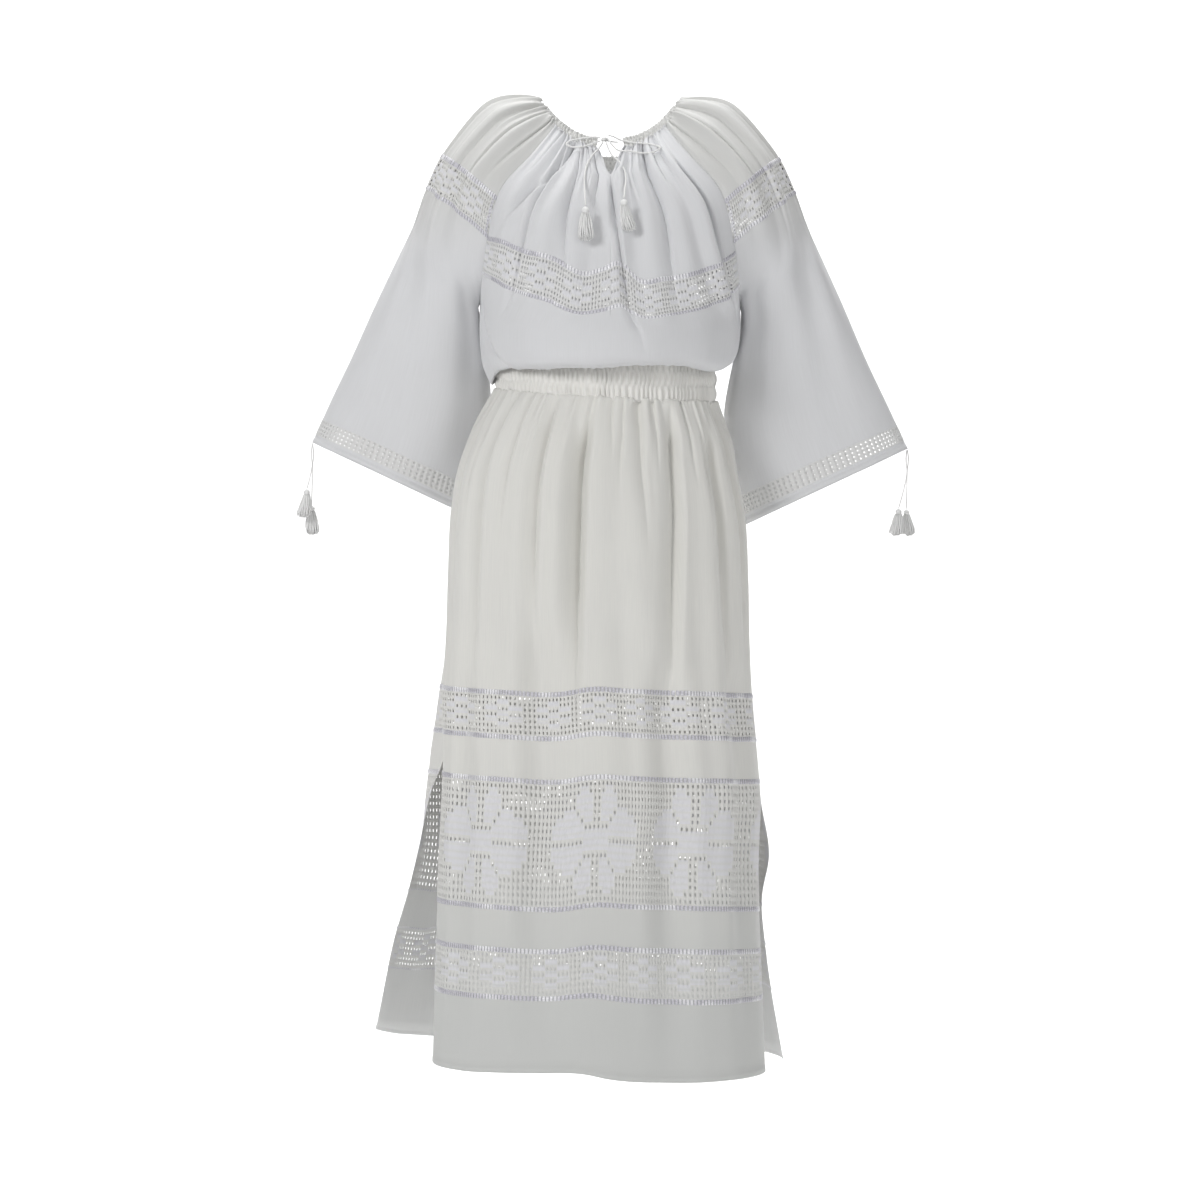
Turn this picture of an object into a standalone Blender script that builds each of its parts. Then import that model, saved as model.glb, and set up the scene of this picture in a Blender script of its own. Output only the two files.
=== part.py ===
"""A traditional midi dress, filled out as it is worn, with no wearer.

The bodice, the wide sleeves and the skirt are cloth walls. Each panel is a surface of two numbers:
u runs across it from its left seam to its right one, and v runs down it in metres from the neck or
the waist. The origin is where the shoulders hold the dress, +Z is up and the front faces -Y.
"""

import math

import bmesh
import bpy
import numpy as np

# Cloth and sewing, metres
CLOTH = 0.0014
SEAM_GAP = 0.0003
CENTRE_X = 0.006

# Neck casing: half width, front and back depth, height at the front, back and sides
NECK_TOP = {"half": 0.076, "front": 0.072, "back": 0.066, "low": -0.046, "rear": -0.050, "side": 0.009}
NECK_FOOT = {"half": 0.088, "front": 0.083, "back": 0.078, "low": -0.061, "rear": -0.064, "side": 0.016}
NECK_RISE = 2.5
NECK_GATHERS = 70
GATHER_HEIGHT = 0.001
FRONT_TURN = math.radians(48)
KEYHOLE_TURN = math.radians(8.5)
KEYHOLE_HALF = 0.012
KEYHOLE_DEPTH = 0.036
KEYHOLE_ROUND = 0.8
TURN_STEP = 0.01

# Waistband: half width, front and back depth, height, drop to the right, and dip at the front
WAIST_TOP = {"half": 0.129, "front": 0.0975, "back": 0.092, "z": -0.299, "tilt": 0.000, "dip": 0.006}
WAIST_FOOT = {"half": 0.130, "front": 0.0985, "back": 0.093, "z": -0.3435, "tilt": 0.0075, "dip": 0.010}
WAIST_CENTRE_X = 0.001
WAIST_GATHERS = 90
BLOUSE_REST = 0.0011
SKIRT_EASE = 0.040

# The arm's depth of the body, measured along the seam from the neck
ARM = 0.276
RING_EASE = 0.060
BACK_SHARE = 0.9


def table(columns, rows):
    """Name the columns of a short table of rows."""
    return {name: np.array(values, float) for name, values in zip(columns.split(), zip(*rows))}


# Seam between sleeve and body: distance out from the centre line, and height
RAGLAN = table("v out z", [
    (0.000, 0.064, -0.031),
    (0.055, 0.096, -0.070),
    (0.107, 0.128, -0.108),
    (0.168, 0.144, -0.166),
    (0.222, 0.151, -0.206),
    (ARM, 0.156, -0.237),
])

# Inner edge of the sleeve below the arm: distance out on each side, depth behind the seam, height
INNER = table("v left right y z", [
    (ARM, 0.1587, 0.1587, 0.000, -0.237),
    (0.300, 0.1590, 0.1580, 0.022, -0.262),
    (0.340, 0.1550, 0.1490, 0.046, -0.302),
    (0.400, 0.1520, 0.1390, 0.066, -0.366),
    (0.460, 0.1560, 0.1470, 0.082, -0.428),
    (0.520, 0.1660, 0.1660, 0.090, -0.490),
])

# Sleeve: outer edge, half depth, and how far round its section starts at the body's seam
SLEEVE = table("v out y z deep start", [
    (0.000, 0.088, 0.000, 0.016, 0.0560, 90),
    (0.055, 0.142, 0.000, 0.004, 0.0850, 90),
    (0.107, 0.191, 0.000, -0.050, 0.0960, 80),
    (0.168, 0.219, 0.005, -0.099, 0.0880, 76),
    (0.222, 0.237, 0.012, -0.142, 0.0660, 66),
    (ARM, 0.259, 0.020, -0.188, 0.0580, 0),
    (0.340, 0.287, 0.035, -0.243, 0.0540, 0),
    (0.400, 0.313, 0.050, -0.296, 0.0480, 0),
    (0.460, 0.339, 0.066, -0.346, 0.0440, 0),
    (0.520, 0.364, 0.080, -0.397, 0.0400, 0),
])
SLEEVE_LENGTH = 0.520
RIGHT_CUFF_DROP = 0.008

# Side seams of the bodice below the arm: distance out and height, on the left and on the right
SIDE = table("v left left_z right right_z", [
    (ARM, 0.1560, -0.237, 0.1560, -0.237),
    (0.305, 0.1560, -0.266, 0.1560, -0.267),
    (0.335, 0.1535, -0.297, 0.1520, -0.292),
    (0.357, 0.1470, -0.317, 0.1430, -0.304),
    (0.372, 0.1410, -0.312, 0.1350, -0.303),
    (0.382, 0.1340, -0.298, 0.1300, -0.298),
])

# Middle of the bodice's front and back: depth, height, and how far the section turns to its seam
FRONT = table("v y z turn", [
    (0.000, -0.083, -0.061, 48),
    (0.055, -0.118, -0.102, 55),
    (0.107, -0.137, -0.146, 62),
    (0.168, -0.146, -0.208, 70),
    (0.222, -0.150, -0.258, 80),
    (ARM, -0.152, -0.284, 90),
    (0.305, -0.147, -0.302, 90),
    (0.335, -0.134, -0.314, 90),
    (0.357, -0.116, -0.314, 90),
    (0.372, -0.106, -0.306, 90),
    (0.382, -0.0975, -0.304, 90),
])
BACK = table("v y z turn", [
    (0.000, 0.078, -0.064, 48),
    (0.055, 0.099, -0.100, 55),
    (0.107, 0.110, -0.145, 62),
    (0.168, 0.116, -0.205, 70),
    (0.222, 0.119, -0.252, 80),
    (ARM, 0.121, -0.284, 90),
    (0.305, 0.121, -0.308, 90),
    (0.335, 0.116, -0.322, 90),
    (0.357, 0.108, -0.320, 90),
    (0.372, 0.101, -0.306, 90),
    (0.382, 0.092, -0.298, 90),
])
BLOUSE_LENGTH = 0.382
BLOUSE_TURN_IN = 0.028
BLOUSE_TURN_EASE = 0.018

# How far the bloused front hangs lower in places across it
FRONT_SAG = table("u low", [
    (0.00, 0.000), (0.15, 0.001), (0.32, 0.005), (0.50, 0.003), (0.68, 0.002), (0.84, 0.011),
    (0.95, 0.003), (1.00, 0.000),
])
SAG_START = 0.270
SAG_EASE = 0.060

# Skirt front: both edges, the middle's depth and the height, down from the waist
SKIRT_FRONT = table("v left left_y right right_y middle_y z lift drop turn_left turn_right", [
    (0.000, -0.1290, -0.004, 0.1310, 0.004, -0.0980, -0.3465, 0.0075, 0.0075, 90, 90),
    (0.020, -0.1440, -0.006, 0.1390, 0.005, -0.1030, -0.3670, 0.0075, 0.0075, 90, 90),
    (0.046, -0.1580, -0.008, 0.1500, 0.007, -0.1090, -0.3930, 0.0075, 0.0075, 90, 90),
    (0.086, -0.1740, -0.012, 0.1590, 0.009, -0.1160, -0.4330, 0.0070, 0.0075, 90, 90),
    (0.135, -0.1830, -0.018, 0.1680, 0.012, -0.1210, -0.4820, 0.0065, 0.0080, 90, 90),
    (0.213, -0.1870, -0.026, 0.1720, 0.015, -0.1250, -0.5600, 0.0060, 0.0080, 90, 90),
    (0.291, -0.1890, -0.034, 0.1740, 0.018, -0.1290, -0.6380, 0.0055, 0.0085, 90, 90),
    (0.353, -0.1920, -0.040, 0.1770, 0.020, -0.1320, -0.7000, 0.0050, 0.0090, 90, 90),
    (0.438, -0.1920, -0.045, 0.1850, 0.021, -0.1350, -0.7850, 0.0045, 0.0100, 90, 90),
    (0.472, -0.1930, -0.048, 0.1870, 0.020, -0.1370, -0.8190, 0.0045, 0.0105, 90, 90),
    (0.543, -0.1960, -0.056, 0.1840, 0.006, -0.1400, -0.8900, 0.0045, 0.0120, 90, 90),
    (0.650, -0.1990, -0.064, 0.1860, -0.008, -0.1440, -0.9970, 0.0040, 0.0150, 90, 90),
    (0.790, -0.2030, -0.072, 0.1900, -0.020, -0.1500, -1.1370, 0.0040, 0.0190, 90, 90),
])
SKIRT_LENGTH = 0.790
SLIT_LEFT = 0.438
SLIT_RIGHT = 0.472

# Skirt back: the same, with free edges below the slits and a turn past the side where it bulges
SKIRT_BACK = table("v left left_y right right_y middle_y lift drop turn_left turn_right", [
    (0.000, -0.1290, -0.004, 0.1310, 0.004, 0.0920, 0.0075, 0.0075, 90, 90),
    (0.020, -0.1440, -0.006, 0.1390, 0.005, 0.0970, 0.0075, 0.0075, 90, 90),
    (0.046, -0.1580, -0.008, 0.1500, 0.007, 0.1030, 0.0075, 0.0075, 90, 90),
    (0.086, -0.1740, -0.012, 0.1590, 0.009, 0.1100, 0.0070, 0.0075, 90, 90),
    (0.135, -0.1830, -0.018, 0.1680, 0.012, 0.1160, 0.0065, 0.0080, 90, 90),
    (0.213, -0.1870, -0.026, 0.1720, 0.015, 0.1210, 0.0060, 0.0080, 91, 90),
    (0.291, -0.1890, -0.034, 0.1740, 0.018, 0.1260, 0.0055, 0.0085, 94, 90),
    (0.353, -0.1920, -0.040, 0.1770, 0.020, 0.1300, 0.0050, 0.0090, 102, 90),
    (0.438, -0.1920, -0.045, 0.1850, 0.021, 0.1350, 0.0045, 0.0100, 114, 90),
    (0.472, -0.2050, -0.040, 0.1870, 0.020, 0.1360, 0.0060, 0.0105, 106, 92),
    (0.543, -0.2210, -0.026, 0.1980, 0.034, 0.1400, 0.0080, 0.0110, 94, 92),
    (0.590, -0.2320, -0.014, 0.1900, 0.038, 0.1420, 0.0100, 0.0110, 90, 90),
    (0.650, -0.2490, -0.002, 0.1940, 0.040, 0.1440, 0.0130, 0.0110, 90, 90),
    (0.790, -0.2760, 0.020, 0.2160, 0.044, 0.1500, 0.0300, 0.0110, 90, 90),
])

# How fast a fold rises from its start, falls at its end, and dies away towards a seam
FOLD_RISE = 6
FOLD_FALL = 2
FOLD_EDGE = 12

# Folds: middle at the fold's top and foot, half width, height, and where it starts and ends
FRONT_FOLDS = table("top foot wide high start end", [
    (0.10, 0.10, 0.060, 0.005, 0.010, 0.230),
    (0.20, 0.15, 0.060, 0.005, 0.000, 0.290),
    (0.30, 0.25, 0.055, 0.006, 0.000, 0.280),
    (0.40, 0.37, 0.055, 0.006, 0.000, 0.310),
    (0.56, 0.52, 0.045, 0.007, 0.010, 0.230),
    (0.64, 0.64, 0.060, 0.007, 0.000, 0.300),
    (0.74, 0.77, 0.055, 0.006, 0.000, 0.270),
    (0.85, 0.88, 0.060, 0.007, 0.000, 0.330),
])
BACK_FOLDS = table("top foot wide high start end", [
    (0.14, 0.12, 0.070, 0.004, 0.000, 0.280),
    (0.29, 0.27, 0.070, 0.005, 0.000, 0.250),
    (0.43, 0.42, 0.070, 0.004, 0.000, 0.300),
    (0.57, 0.58, 0.070, 0.005, 0.000, 0.260),
    (0.71, 0.73, 0.070, 0.005, 0.000, 0.300),
    (0.86, 0.88, 0.070, 0.004, 0.000, 0.270),
])
SLEEVE_FOLDS = table("top foot wide high start end", [
    (0.13, 0.16, 0.060, 0.006, 0.000, 0.240),
    (0.27, 0.26, 0.060, 0.007, 0.000, 0.330),
    (0.41, 0.38, 0.055, 0.005, 0.000, 0.420),
    (0.60, 0.60, 0.060, 0.005, 0.000, 0.400),
    (0.75, 0.72, 0.060, 0.005, 0.000, 0.300),
    (0.88, 0.86, 0.060, 0.004, 0.000, 0.240),
])
SKIRT_FRONT_FOLDS = table("top foot wide high start end", [
    (0.07, 0.05, 0.040, 0.004, 0.000, 0.500),
    (0.15, 0.13, 0.045, 0.005, 0.000, 0.600),
    (0.24, 0.22, 0.040, 0.005, 0.000, 0.420),
    (0.32, 0.31, 0.045, 0.006, 0.000, 0.850),
    (0.41, 0.40, 0.045, 0.006, 0.000, 0.880),
    (0.50, 0.50, 0.040, 0.004, 0.000, 0.300),
    (0.58, 0.60, 0.045, 0.006, 0.000, 0.850),
    (0.67, 0.69, 0.040, 0.005, 0.000, 0.520),
    (0.76, 0.79, 0.045, 0.006, 0.000, 0.800),
    (0.85, 0.88, 0.040, 0.005, 0.000, 0.560),
    (0.93, 0.95, 0.040, 0.004, 0.000, 0.420),
])
SKIRT_BACK_FOLDS = table("top foot wide high start end", [
    (0.10, 0.09, 0.055, 0.005, 0.000, 0.520),
    (0.21, 0.20, 0.055, 0.006, 0.000, 0.800),
    (0.33, 0.32, 0.055, 0.005, 0.000, 0.600),
    (0.44, 0.44, 0.055, 0.006, 0.000, 0.850),
    (0.56, 0.57, 0.055, 0.005, 0.000, 0.550),
    (0.67, 0.69, 0.055, 0.006, 0.000, 0.820),
    (0.79, 0.81, 0.055, 0.005, 0.000, 0.600),
    (0.90, 0.91, 0.055, 0.005, 0.000, 0.500),
])

# Mesh: rows down each panel, shared along its seams, and columns across it
RAGLAN_ROWS = np.array([0.0, 0.016, KEYHOLE_DEPTH, 0.070, 0.107, 0.150, 0.190, 0.235, ARM])
SLEEVE_ROWS = np.concatenate([RAGLAN_ROWS, np.linspace(ARM, SLEEVE_LENGTH, 7)[1:]])
BLOUSE_ROWS = np.concatenate([RAGLAN_ROWS, SIDE["v"][1:]])
SKIRT_ROWS = np.array([0.0, 0.02, 0.046, 0.086, 0.135, 0.213, 0.291, 0.353, SLIT_LEFT, SLIT_RIGHT,
                       0.543, 0.65, SKIRT_LENGTH])
FRONT_COLUMNS = 28
BACK_COLUMNS = 22
SLEEVE_COLUMNS = 26
SKIRT_FRONT_COLUMNS = 34
SKIRT_BACK_COLUMNS = 28

# Ties and tassels, metres
TIE_RADIUS = 0.0012
CUFF_TIE_RADIUS = 0.0008
TIE_STEP = 0.008
CUFF_TIE_APART = 0.0014

# Stretch between the casing's ends with its knot: place and thickness
KNOT = table("x y z radius", [
    (-0.0045, -0.0790, -0.0500, 0.0011),
    (-0.0028, -0.0800, -0.0485, 0.0026),
    (-0.0008, -0.0805, -0.0480, 0.0034),
    (0.0012, -0.0800, -0.0485, 0.0026),
    (0.0045, -0.0790, -0.0500, 0.0012),
    (0.0100, -0.0785, -0.0510, 0.0011),
    (0.0162, -0.0785, -0.0512, 0.0011),
])
TIE_ROUTES = {
    "tie_loop_left": [
        (-0.0050, -0.0830, -0.0468), (-0.0120, -0.0800, -0.0455), (-0.0220, -0.0768, -0.0460),
        (-0.0330, -0.0778, -0.0480), (-0.0420, -0.0832, -0.0510), (-0.0455, -0.0868, -0.0545),
        (-0.0420, -0.0895, -0.0575), (-0.0330, -0.0910, -0.0590), (-0.0220, -0.0882, -0.0570),
        (-0.0120, -0.0875, -0.0530), (-0.0058, -0.0860, -0.0508),
    ],
    "tie_loop_right": [
        (0.0030, -0.0838, -0.0472), (0.0080, -0.0910, -0.0560), (0.0150, -0.0950, -0.0630),
        (0.0288, -0.0985, -0.0645), (0.0433, -0.0996, -0.0670), (0.0586, -0.0960, -0.0646),
        (0.0645, -0.0940, -0.0603), (0.0557, -0.0880, -0.0556), (0.0410, -0.0844, -0.0535),
        (0.0304, -0.0820, -0.0520), (0.0175, -0.0815, -0.0490), (0.0090, -0.0825, -0.0450),
        (0.0034, -0.0830, -0.0438),
    ],
    "tie_end_left": [
        (-0.0022, -0.0826, -0.0512), (-0.0080, -0.0910, -0.0610), (-0.0150, -0.1022, -0.0700),
        (-0.0210, -0.1105, -0.0820), (-0.0240, -0.1235, -0.0980), (-0.0238, -0.1370, -0.1150),
        (-0.0232, -0.1460, -0.1250), (-0.0228, -0.1528, -0.1348),
    ],
    "tie_end_right": [
        (0.0006, -0.0826, -0.0512), (0.0080, -0.0978, -0.0690), (0.0170, -0.1095, -0.0790),
        (0.0225, -0.1165, -0.0890), (0.0240, -0.1265, -0.1010), (0.0228, -0.1385, -0.1130),
        (0.0217, -0.1522, -0.1264),
    ],
}

# Tassels: top of the head, length, flare at the foot across and in depth, lean to the right
TASSELS = {
    "tassel_neck_left": {"top": (-0.0228, -0.1535, -0.1356), "long": 0.041, "wide": 0.0095,
                         "deep": 0.0050, "lean": 0.001, "locks": 9},
    "tassel_neck_right": {"top": (0.0217, -0.1530, -0.1272), "long": 0.038, "wide": 0.0090,
                          "deep": 0.0050, "lean": 0.006, "locks": 9},
    "tassel_cuff_left_a": {"top": (-0.3645, 0.0760, -0.4545), "long": 0.036, "wide": 0.0085,
                           "deep": 0.0060, "lean": -0.004, "locks": 6},
    "tassel_cuff_left_b": {"top": (-0.3600, 0.0920, -0.4740), "long": 0.037, "wide": 0.0090,
                           "deep": 0.0060, "lean": 0.001, "locks": 6},
    "tassel_cuff_right_a": {"top": (0.3590, 0.0760, -0.4785), "long": 0.034, "wide": 0.0085,
                            "deep": 0.0060, "lean": -0.003, "locks": 6},
    "tassel_cuff_right_b": {"top": (0.3700, 0.0900, -0.4790), "long": 0.033, "wide": 0.0080,
                            "deep": 0.0060, "lean": 0.003, "locks": 6},
}
TASSEL_HEAD = 0.24
TASSEL_NECK = 0.45
HEAD_PROFILE = table("share down", [(0.55, 0.10), (0.95, 0.35), (0.80, 0.72), (0.66, 0.86), (1.0, 1.0)])
HEAD_UNDERSIDE = 0.5
LOCK_GAP = 0.00025
LOCK_FLARE = 1.15
LOCK_SPREAD = 1.3
LOCK_UNEVEN = 0.10
LOCK_TURN = 2.4
SHARP_ANGLE = math.radians(50)
CUFF_TIE_POINTS = 12
CUFF_TIE_PARTING = 0.026
CUFF_TIE_BEND = 1.3


def smooth(at, knots, values):
    """Cubic curve through a column of knots, with each knot's slope taken from its neighbours."""
    slopes = np.gradient(values, knots)
    i = np.clip(np.searchsorted(knots, at, side="right") - 1, 0, len(knots) - 2)
    span = knots[i + 1] - knots[i]
    t = (at - knots[i]) / span
    rise = values[i + 1] - values[i]
    bend = span * slopes[i] * (t - 2 * t**2 + t**3) + span * slopes[i + 1] * (t**3 - t**2)
    return values[i] + rise * (3 * t**2 - 2 * t**3) + bend


def column(name, rows, v):
    """One column of a table, read smoothly at v."""
    return smooth(np.clip(v, rows["v"][0], rows["v"][-1]), rows["v"], rows[name])


def ease(t):
    """Soft step from 0 to 1."""
    t = np.clip(t, 0, 1)
    return t * t * (3 - 2 * t)


def unit(vectors):
    """Vectors of length one."""
    return vectors / np.maximum(np.linalg.norm(vectors, axis=-1, keepdims=True), 1e-12)


def neck_ring(turn, ring):
    """The neck's saddle-shaped oval: turn is 0 at the front and grows to the wearer's left."""
    ahead = np.cos(turn) > 0
    y = -np.cos(turn) * np.where(ahead, ring["front"], ring["back"])
    low = np.where(ahead, ring["low"], ring["rear"])
    z = low + (ring["side"] - low) * np.abs(np.sin(turn)) ** NECK_RISE
    return np.stack([CENTRE_X + ring["half"] * np.sin(turn), y, z], axis=-1)


def blend(start, rest, v):
    """Leave the neck's ring and settle into the panel's own rows."""
    share = ease(v / RING_EASE)[..., None]
    return start * (1 - share) + rest * share


def waist_ring(turn, ring, outward=0.0):
    """The waist's oval at the top or the foot of the band, or a little way outside it."""
    y = -np.cos(turn) * (np.where(np.cos(turn) > 0, ring["front"], ring["back"]) + outward)
    z = ring["z"] - ring["tilt"] * np.sin(turn) - ring["dip"] * np.maximum(np.cos(turn), 0)
    return np.stack([WAIST_CENTRE_X + (ring["half"] + outward) * np.sin(turn), y, z], axis=-1)


def seam_point(v, face):
    """The seam between sleeve and body: face is -1 at the front and 1 at the back."""
    start = np.radians(column("start", SLEEVE, v))
    deep = column("deep", SLEEVE, v) * np.sin(start) * (1 if face < 0 else BACK_SHARE)
    return column("out", RAGLAN, v), face * deep, column("z", RAGLAN, v)


def sleeve_surface(u, v, side):
    """Sleeve: each row leaves the front seam, turns round the outer edge and ends at the back.

    Above the arm a row is an open arc between the two seams; below it the row is a closed oval
    from the inner edge to the outer one. side is -1 for the left sleeve and 1 for the right.
    """
    face = np.where(u < 0.5, -1.0, 1.0)
    across = 1 - np.abs(2 * u - 1)
    start = np.radians(np.maximum(column("start", SLEEVE, v), 0))
    angle = start + (math.pi - start) * across
    along = (np.cos(start) - np.cos(angle)) / (np.cos(start) + 1)
    below = v >= ARM
    inner = column("left" if side < 0 else "right", INNER, v)
    edge_out = np.where(below, inner, column("out", RAGLAN, v))
    edge_z = np.where(below, column("z", INNER, v), column("z", RAGLAN, v))
    edge_y = np.where(below, column("y", INNER, v), 0.0)
    out = edge_out + (column("out", SLEEVE, v) - edge_out) * along
    z = edge_z + (column("z", SLEEVE, v) - edge_z) * along
    open_share = np.where(below, 1.0, BACK_SHARE + (1 - BACK_SHARE) * ease(across))
    deep = column("deep", SLEEVE, v) * np.where(face < 0, 1.0, open_share)
    y = edge_y + (column("y", SLEEVE, v) - edge_y) * along + face * deep * np.sin(angle)
    if side > 0:
        z = z - RIGHT_CUFF_DROP * ease((v - ARM) / (SLEEVE_LENGTH - ARM))
    rows = np.stack([CENTRE_X + side * out, y, z], axis=-1)
    turn = side * (FRONT_TURN + (math.pi - 2 * FRONT_TURN) * u)
    return blend(neck_ring(turn, NECK_FOOT), rows, v)


def drape(u, left, right, middle, turn_left, turn_right):
    """Rows of a body panel: each runs from its left edge round the middle to its right edge.

    The row is part of an oval. Past a turn of a right angle it bulges beyond its own edge.
    """
    on_left = u < 0.5
    turn = np.radians(np.where(on_left, turn_left, turn_right))
    angle = (2 * u - 1) * turn
    edge = [np.where(on_left, a, b) for a, b in zip(left, right)]
    across = np.abs(np.sin(angle)) / np.sin(turn)
    inward = (np.cos(angle) - np.cos(turn)) / (1 - np.cos(turn))
    x = middle[0] + (edge[0] - middle[0]) * across
    y = edge[1] + (middle[1] - edge[1]) * inward
    z = edge[2] + (middle[2] - edge[2]) * inward
    return np.stack([x, y, z], axis=-1)


def blouse_surface(u, v, rows, face, half=0):
    """Front or back of the bodice: neck ring, raglan seams, side seams and the bloused foot.

    half is -1 or 1 on the two halves of the front, which the keyhole parts, and 0 on the back.
    """
    out, deep, height = seam_point(v, face)
    below = v > ARM
    y = np.where(below, 0.0, deep)
    left_out = np.where(below, column("left", SIDE, v), out)
    right_out = np.where(below, column("right", SIDE, v), out)
    left = (CENTRE_X - left_out, y, np.where(below, column("left_z", SIDE, v), height))
    right = (CENTRE_X + right_out, y, np.where(below, column("right_z", SIDE, v), height))
    middle = (CENTRE_X, column("y", rows, v), column("z", rows, v))
    turn = column("turn", rows, v)
    points = drape(u, left, right, middle, turn, turn)
    if face < 0:
        points[..., 2] -= smooth(u, FRONT_SAG["u"], FRONT_SAG["low"]) * ease((v - SAG_START) / SAG_EASE)
    way = 2 * u - 1
    parted = np.clip(1 - v / KEYHOLE_DEPTH, 0, 1) ** KEYHOLE_ROUND
    points[..., 0] += half * KEYHOLE_HALF * parted * (1 - np.abs(way)) ** 2
    least = KEYHOLE_TURN * parted
    if face < 0:
        neck_turn = half * (least + (FRONT_TURN - least) * np.abs(way))
        waist_turn = way * math.pi / 2
    else:
        neck_turn = math.pi - FRONT_TURN * way
        waist_turn = math.pi - way * math.pi / 2
    points = blend(neck_ring(neck_turn, NECK_FOOT), points, v)
    foot = waist_ring(waist_turn, WAIST_TOP, BLOUSE_LENGTH - v)
    foot[..., 2] += BLOUSE_REST
    share = ease((v - BLOUSE_LENGTH + BLOUSE_TURN_IN) / BLOUSE_TURN_EASE)[..., None]
    return points * (1 - share) + foot * share


def skirt_surface(u, v, rows, face):
    """Front or back of the skirt, from its table of edges and depths."""
    left_x, right_x = column("left", rows, v), column("right", rows, v)
    z = column("z", SKIRT_FRONT, v)
    lift = column("lift", rows, v)
    left = (left_x, column("left_y", rows, v), z + lift)
    right = (right_x, column("right_y", rows, v), z - column("drop", rows, v))
    middle = ((left_x + right_x) / 2, column("middle_y", rows, v), z)
    points = drape(u, left, right, middle, column("turn_left", rows, v), column("turn_right", rows, v))
    turn = (2 * u - 1) * math.pi / 2
    ring = waist_ring(turn if face < 0 else math.pi - turn, WAIST_FOOT)
    share = ease(v / SKIRT_EASE)[..., None]
    return ring * (1 - share) + points * share


def fold_heights(u, v, folds):
    """Sum of long soft ridges, each from its own row of the table, fading at both ends."""
    total = np.zeros_like(u)
    for top, foot, wide, high, start, end in zip(*folds.values()):
        down = np.clip((v - start) / (end - start), 0, 1)
        middle = top + (foot - top) * down
        away = np.clip(np.abs(u - middle) / wide, 0, 1)
        ridge = np.cos(away * math.pi / 2) ** 2
        total += high * ridge * ease(down * FOLD_RISE) * ease((1 - down) * FOLD_FALL)
    return total * ease(u * FOLD_EDGE) * ease((1 - u) * FOLD_EDGE)


def normals(points):
    """Outward directions of a grid of points, from its slopes both ways."""
    across = np.gradient(points, axis=1)
    down = np.gradient(points, axis=0)
    return unit(np.cross(down, across))


def panel_grid(rows, columns, start=0.0, end=1.0):
    """Grid of u and v for a panel."""
    u, v = np.meshgrid(np.linspace(start, end, columns + 1), rows)
    return u, v


def face_alike(*edges):
    """Give seam edges that meet the same outward direction."""
    total = unit(sum(edges))
    for edge in edges:
        edge[...] = total


def pull_in(points, edge, neighbour, gap=SEAM_GAP / 2):
    """Move an edge of a grid towards its neighbouring line by half the seam's gap."""
    points[edge] += unit(points[neighbour] - points[edge]) * gap


class Sheet:
    """A panel's grid of points with its outward directions."""

    def __init__(self, points, turned=False):
        self.points = points
        self.out = normals(points) * (-1 if turned else 1)


def merge_points(points, outs):
    """Give points that coincide one number, so that split rows close where they meet."""
    keys = np.round(points, 6)
    _, first, back = np.unique(keys, axis=0, return_index=True, return_inverse=True)
    order = np.argsort(first)
    rank = np.empty_like(order)
    rank[order] = np.arange(len(order))
    return points[first[order]], outs[first[order]], rank[back.reshape(-1)]


def grid_faces(rows, columns, offset):
    """Four-sided faces of a grid of points."""
    i, j = np.meshgrid(np.arange(rows - 1), np.arange(columns - 1), indexing="ij")
    first = (offset + i * columns + j).ravel()
    return np.stack([first, first + columns, first + columns + 1, first + 1], axis=1)


def cloth_wall(name, sheets, material, turned=False):
    """Solid wall of cloth: outer and inner faces either side of the panel, closed at its edges."""
    points = np.concatenate([sheet.points.reshape(-1, 3) for sheet in sheets])
    outs = np.concatenate([sheet.out.reshape(-1, 3) for sheet in sheets])
    faces, offset = [], 0
    for sheet in sheets:
        rows, columns = sheet.points.shape[:2]
        faces.append(grid_faces(rows, columns, offset))
        offset += rows * columns
    points, outs, number = merge_points(points, outs)
    faces = [list(dict.fromkeys(face)) for face in number[np.concatenate(faces)].tolist()]
    faces = [face[::-1] if turned else face for face in faces if len(face) > 2]
    edges = {(a, b) for face in faces for a, b in zip(face, face[1:] + face[:1])}
    count = len(points)
    inner = [[i + count for i in reversed(face)] for face in faces]
    rims = [[b, a, a + count, b + count] for a, b in sorted(edges) if (b, a) not in edges]
    verts = np.concatenate([points + outs * CLOTH / 2, points - outs * CLOTH / 2])
    return add_mesh(name, verts.tolist(), faces + inner + rims, material)


def add_mesh(name, verts, faces, material):
    """New object with a smooth mesh, in the dress's own collection."""
    mesh = bpy.data.meshes.new(name)
    mesh.from_pydata(verts, [], faces)
    mesh.shade_smooth()
    mesh.materials.append(material)
    thing = bpy.data.objects.new(name, mesh)
    bpy.data.collections["midi_dress"].objects.link(thing)
    return thing


def make_material(name, colour, roughness):
    """Plain cloth or thread of one colour."""
    material = bpy.data.materials.new(name)
    material.use_nodes = True
    shader = material.node_tree.nodes["Principled BSDF"]
    shader.inputs["Base Color"].default_value = (*colour, 1)
    shader.inputs["Roughness"].default_value = roughness
    shader.inputs["Metallic"].default_value = 0.0
    return material


def ring_out(turn, top, foot):
    """Outward directions of the sloping band between two neck rings."""
    along = neck_ring(turn + TURN_STEP, foot) - neck_ring(turn - TURN_STEP, foot)
    down = neck_ring(turn, foot) - neck_ring(turn, top)
    return unit(np.cross(down, along))


def folded_sheet(surface, folds, u, v, turned=False):
    """A panel's surface with its folds raised along its outward directions."""
    sheet = Sheet(surface(u, v), turned)
    raised = sheet.points + sheet.out * fold_heights(u, v, folds)[..., None]
    return Sheet(raised, turned)


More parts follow.
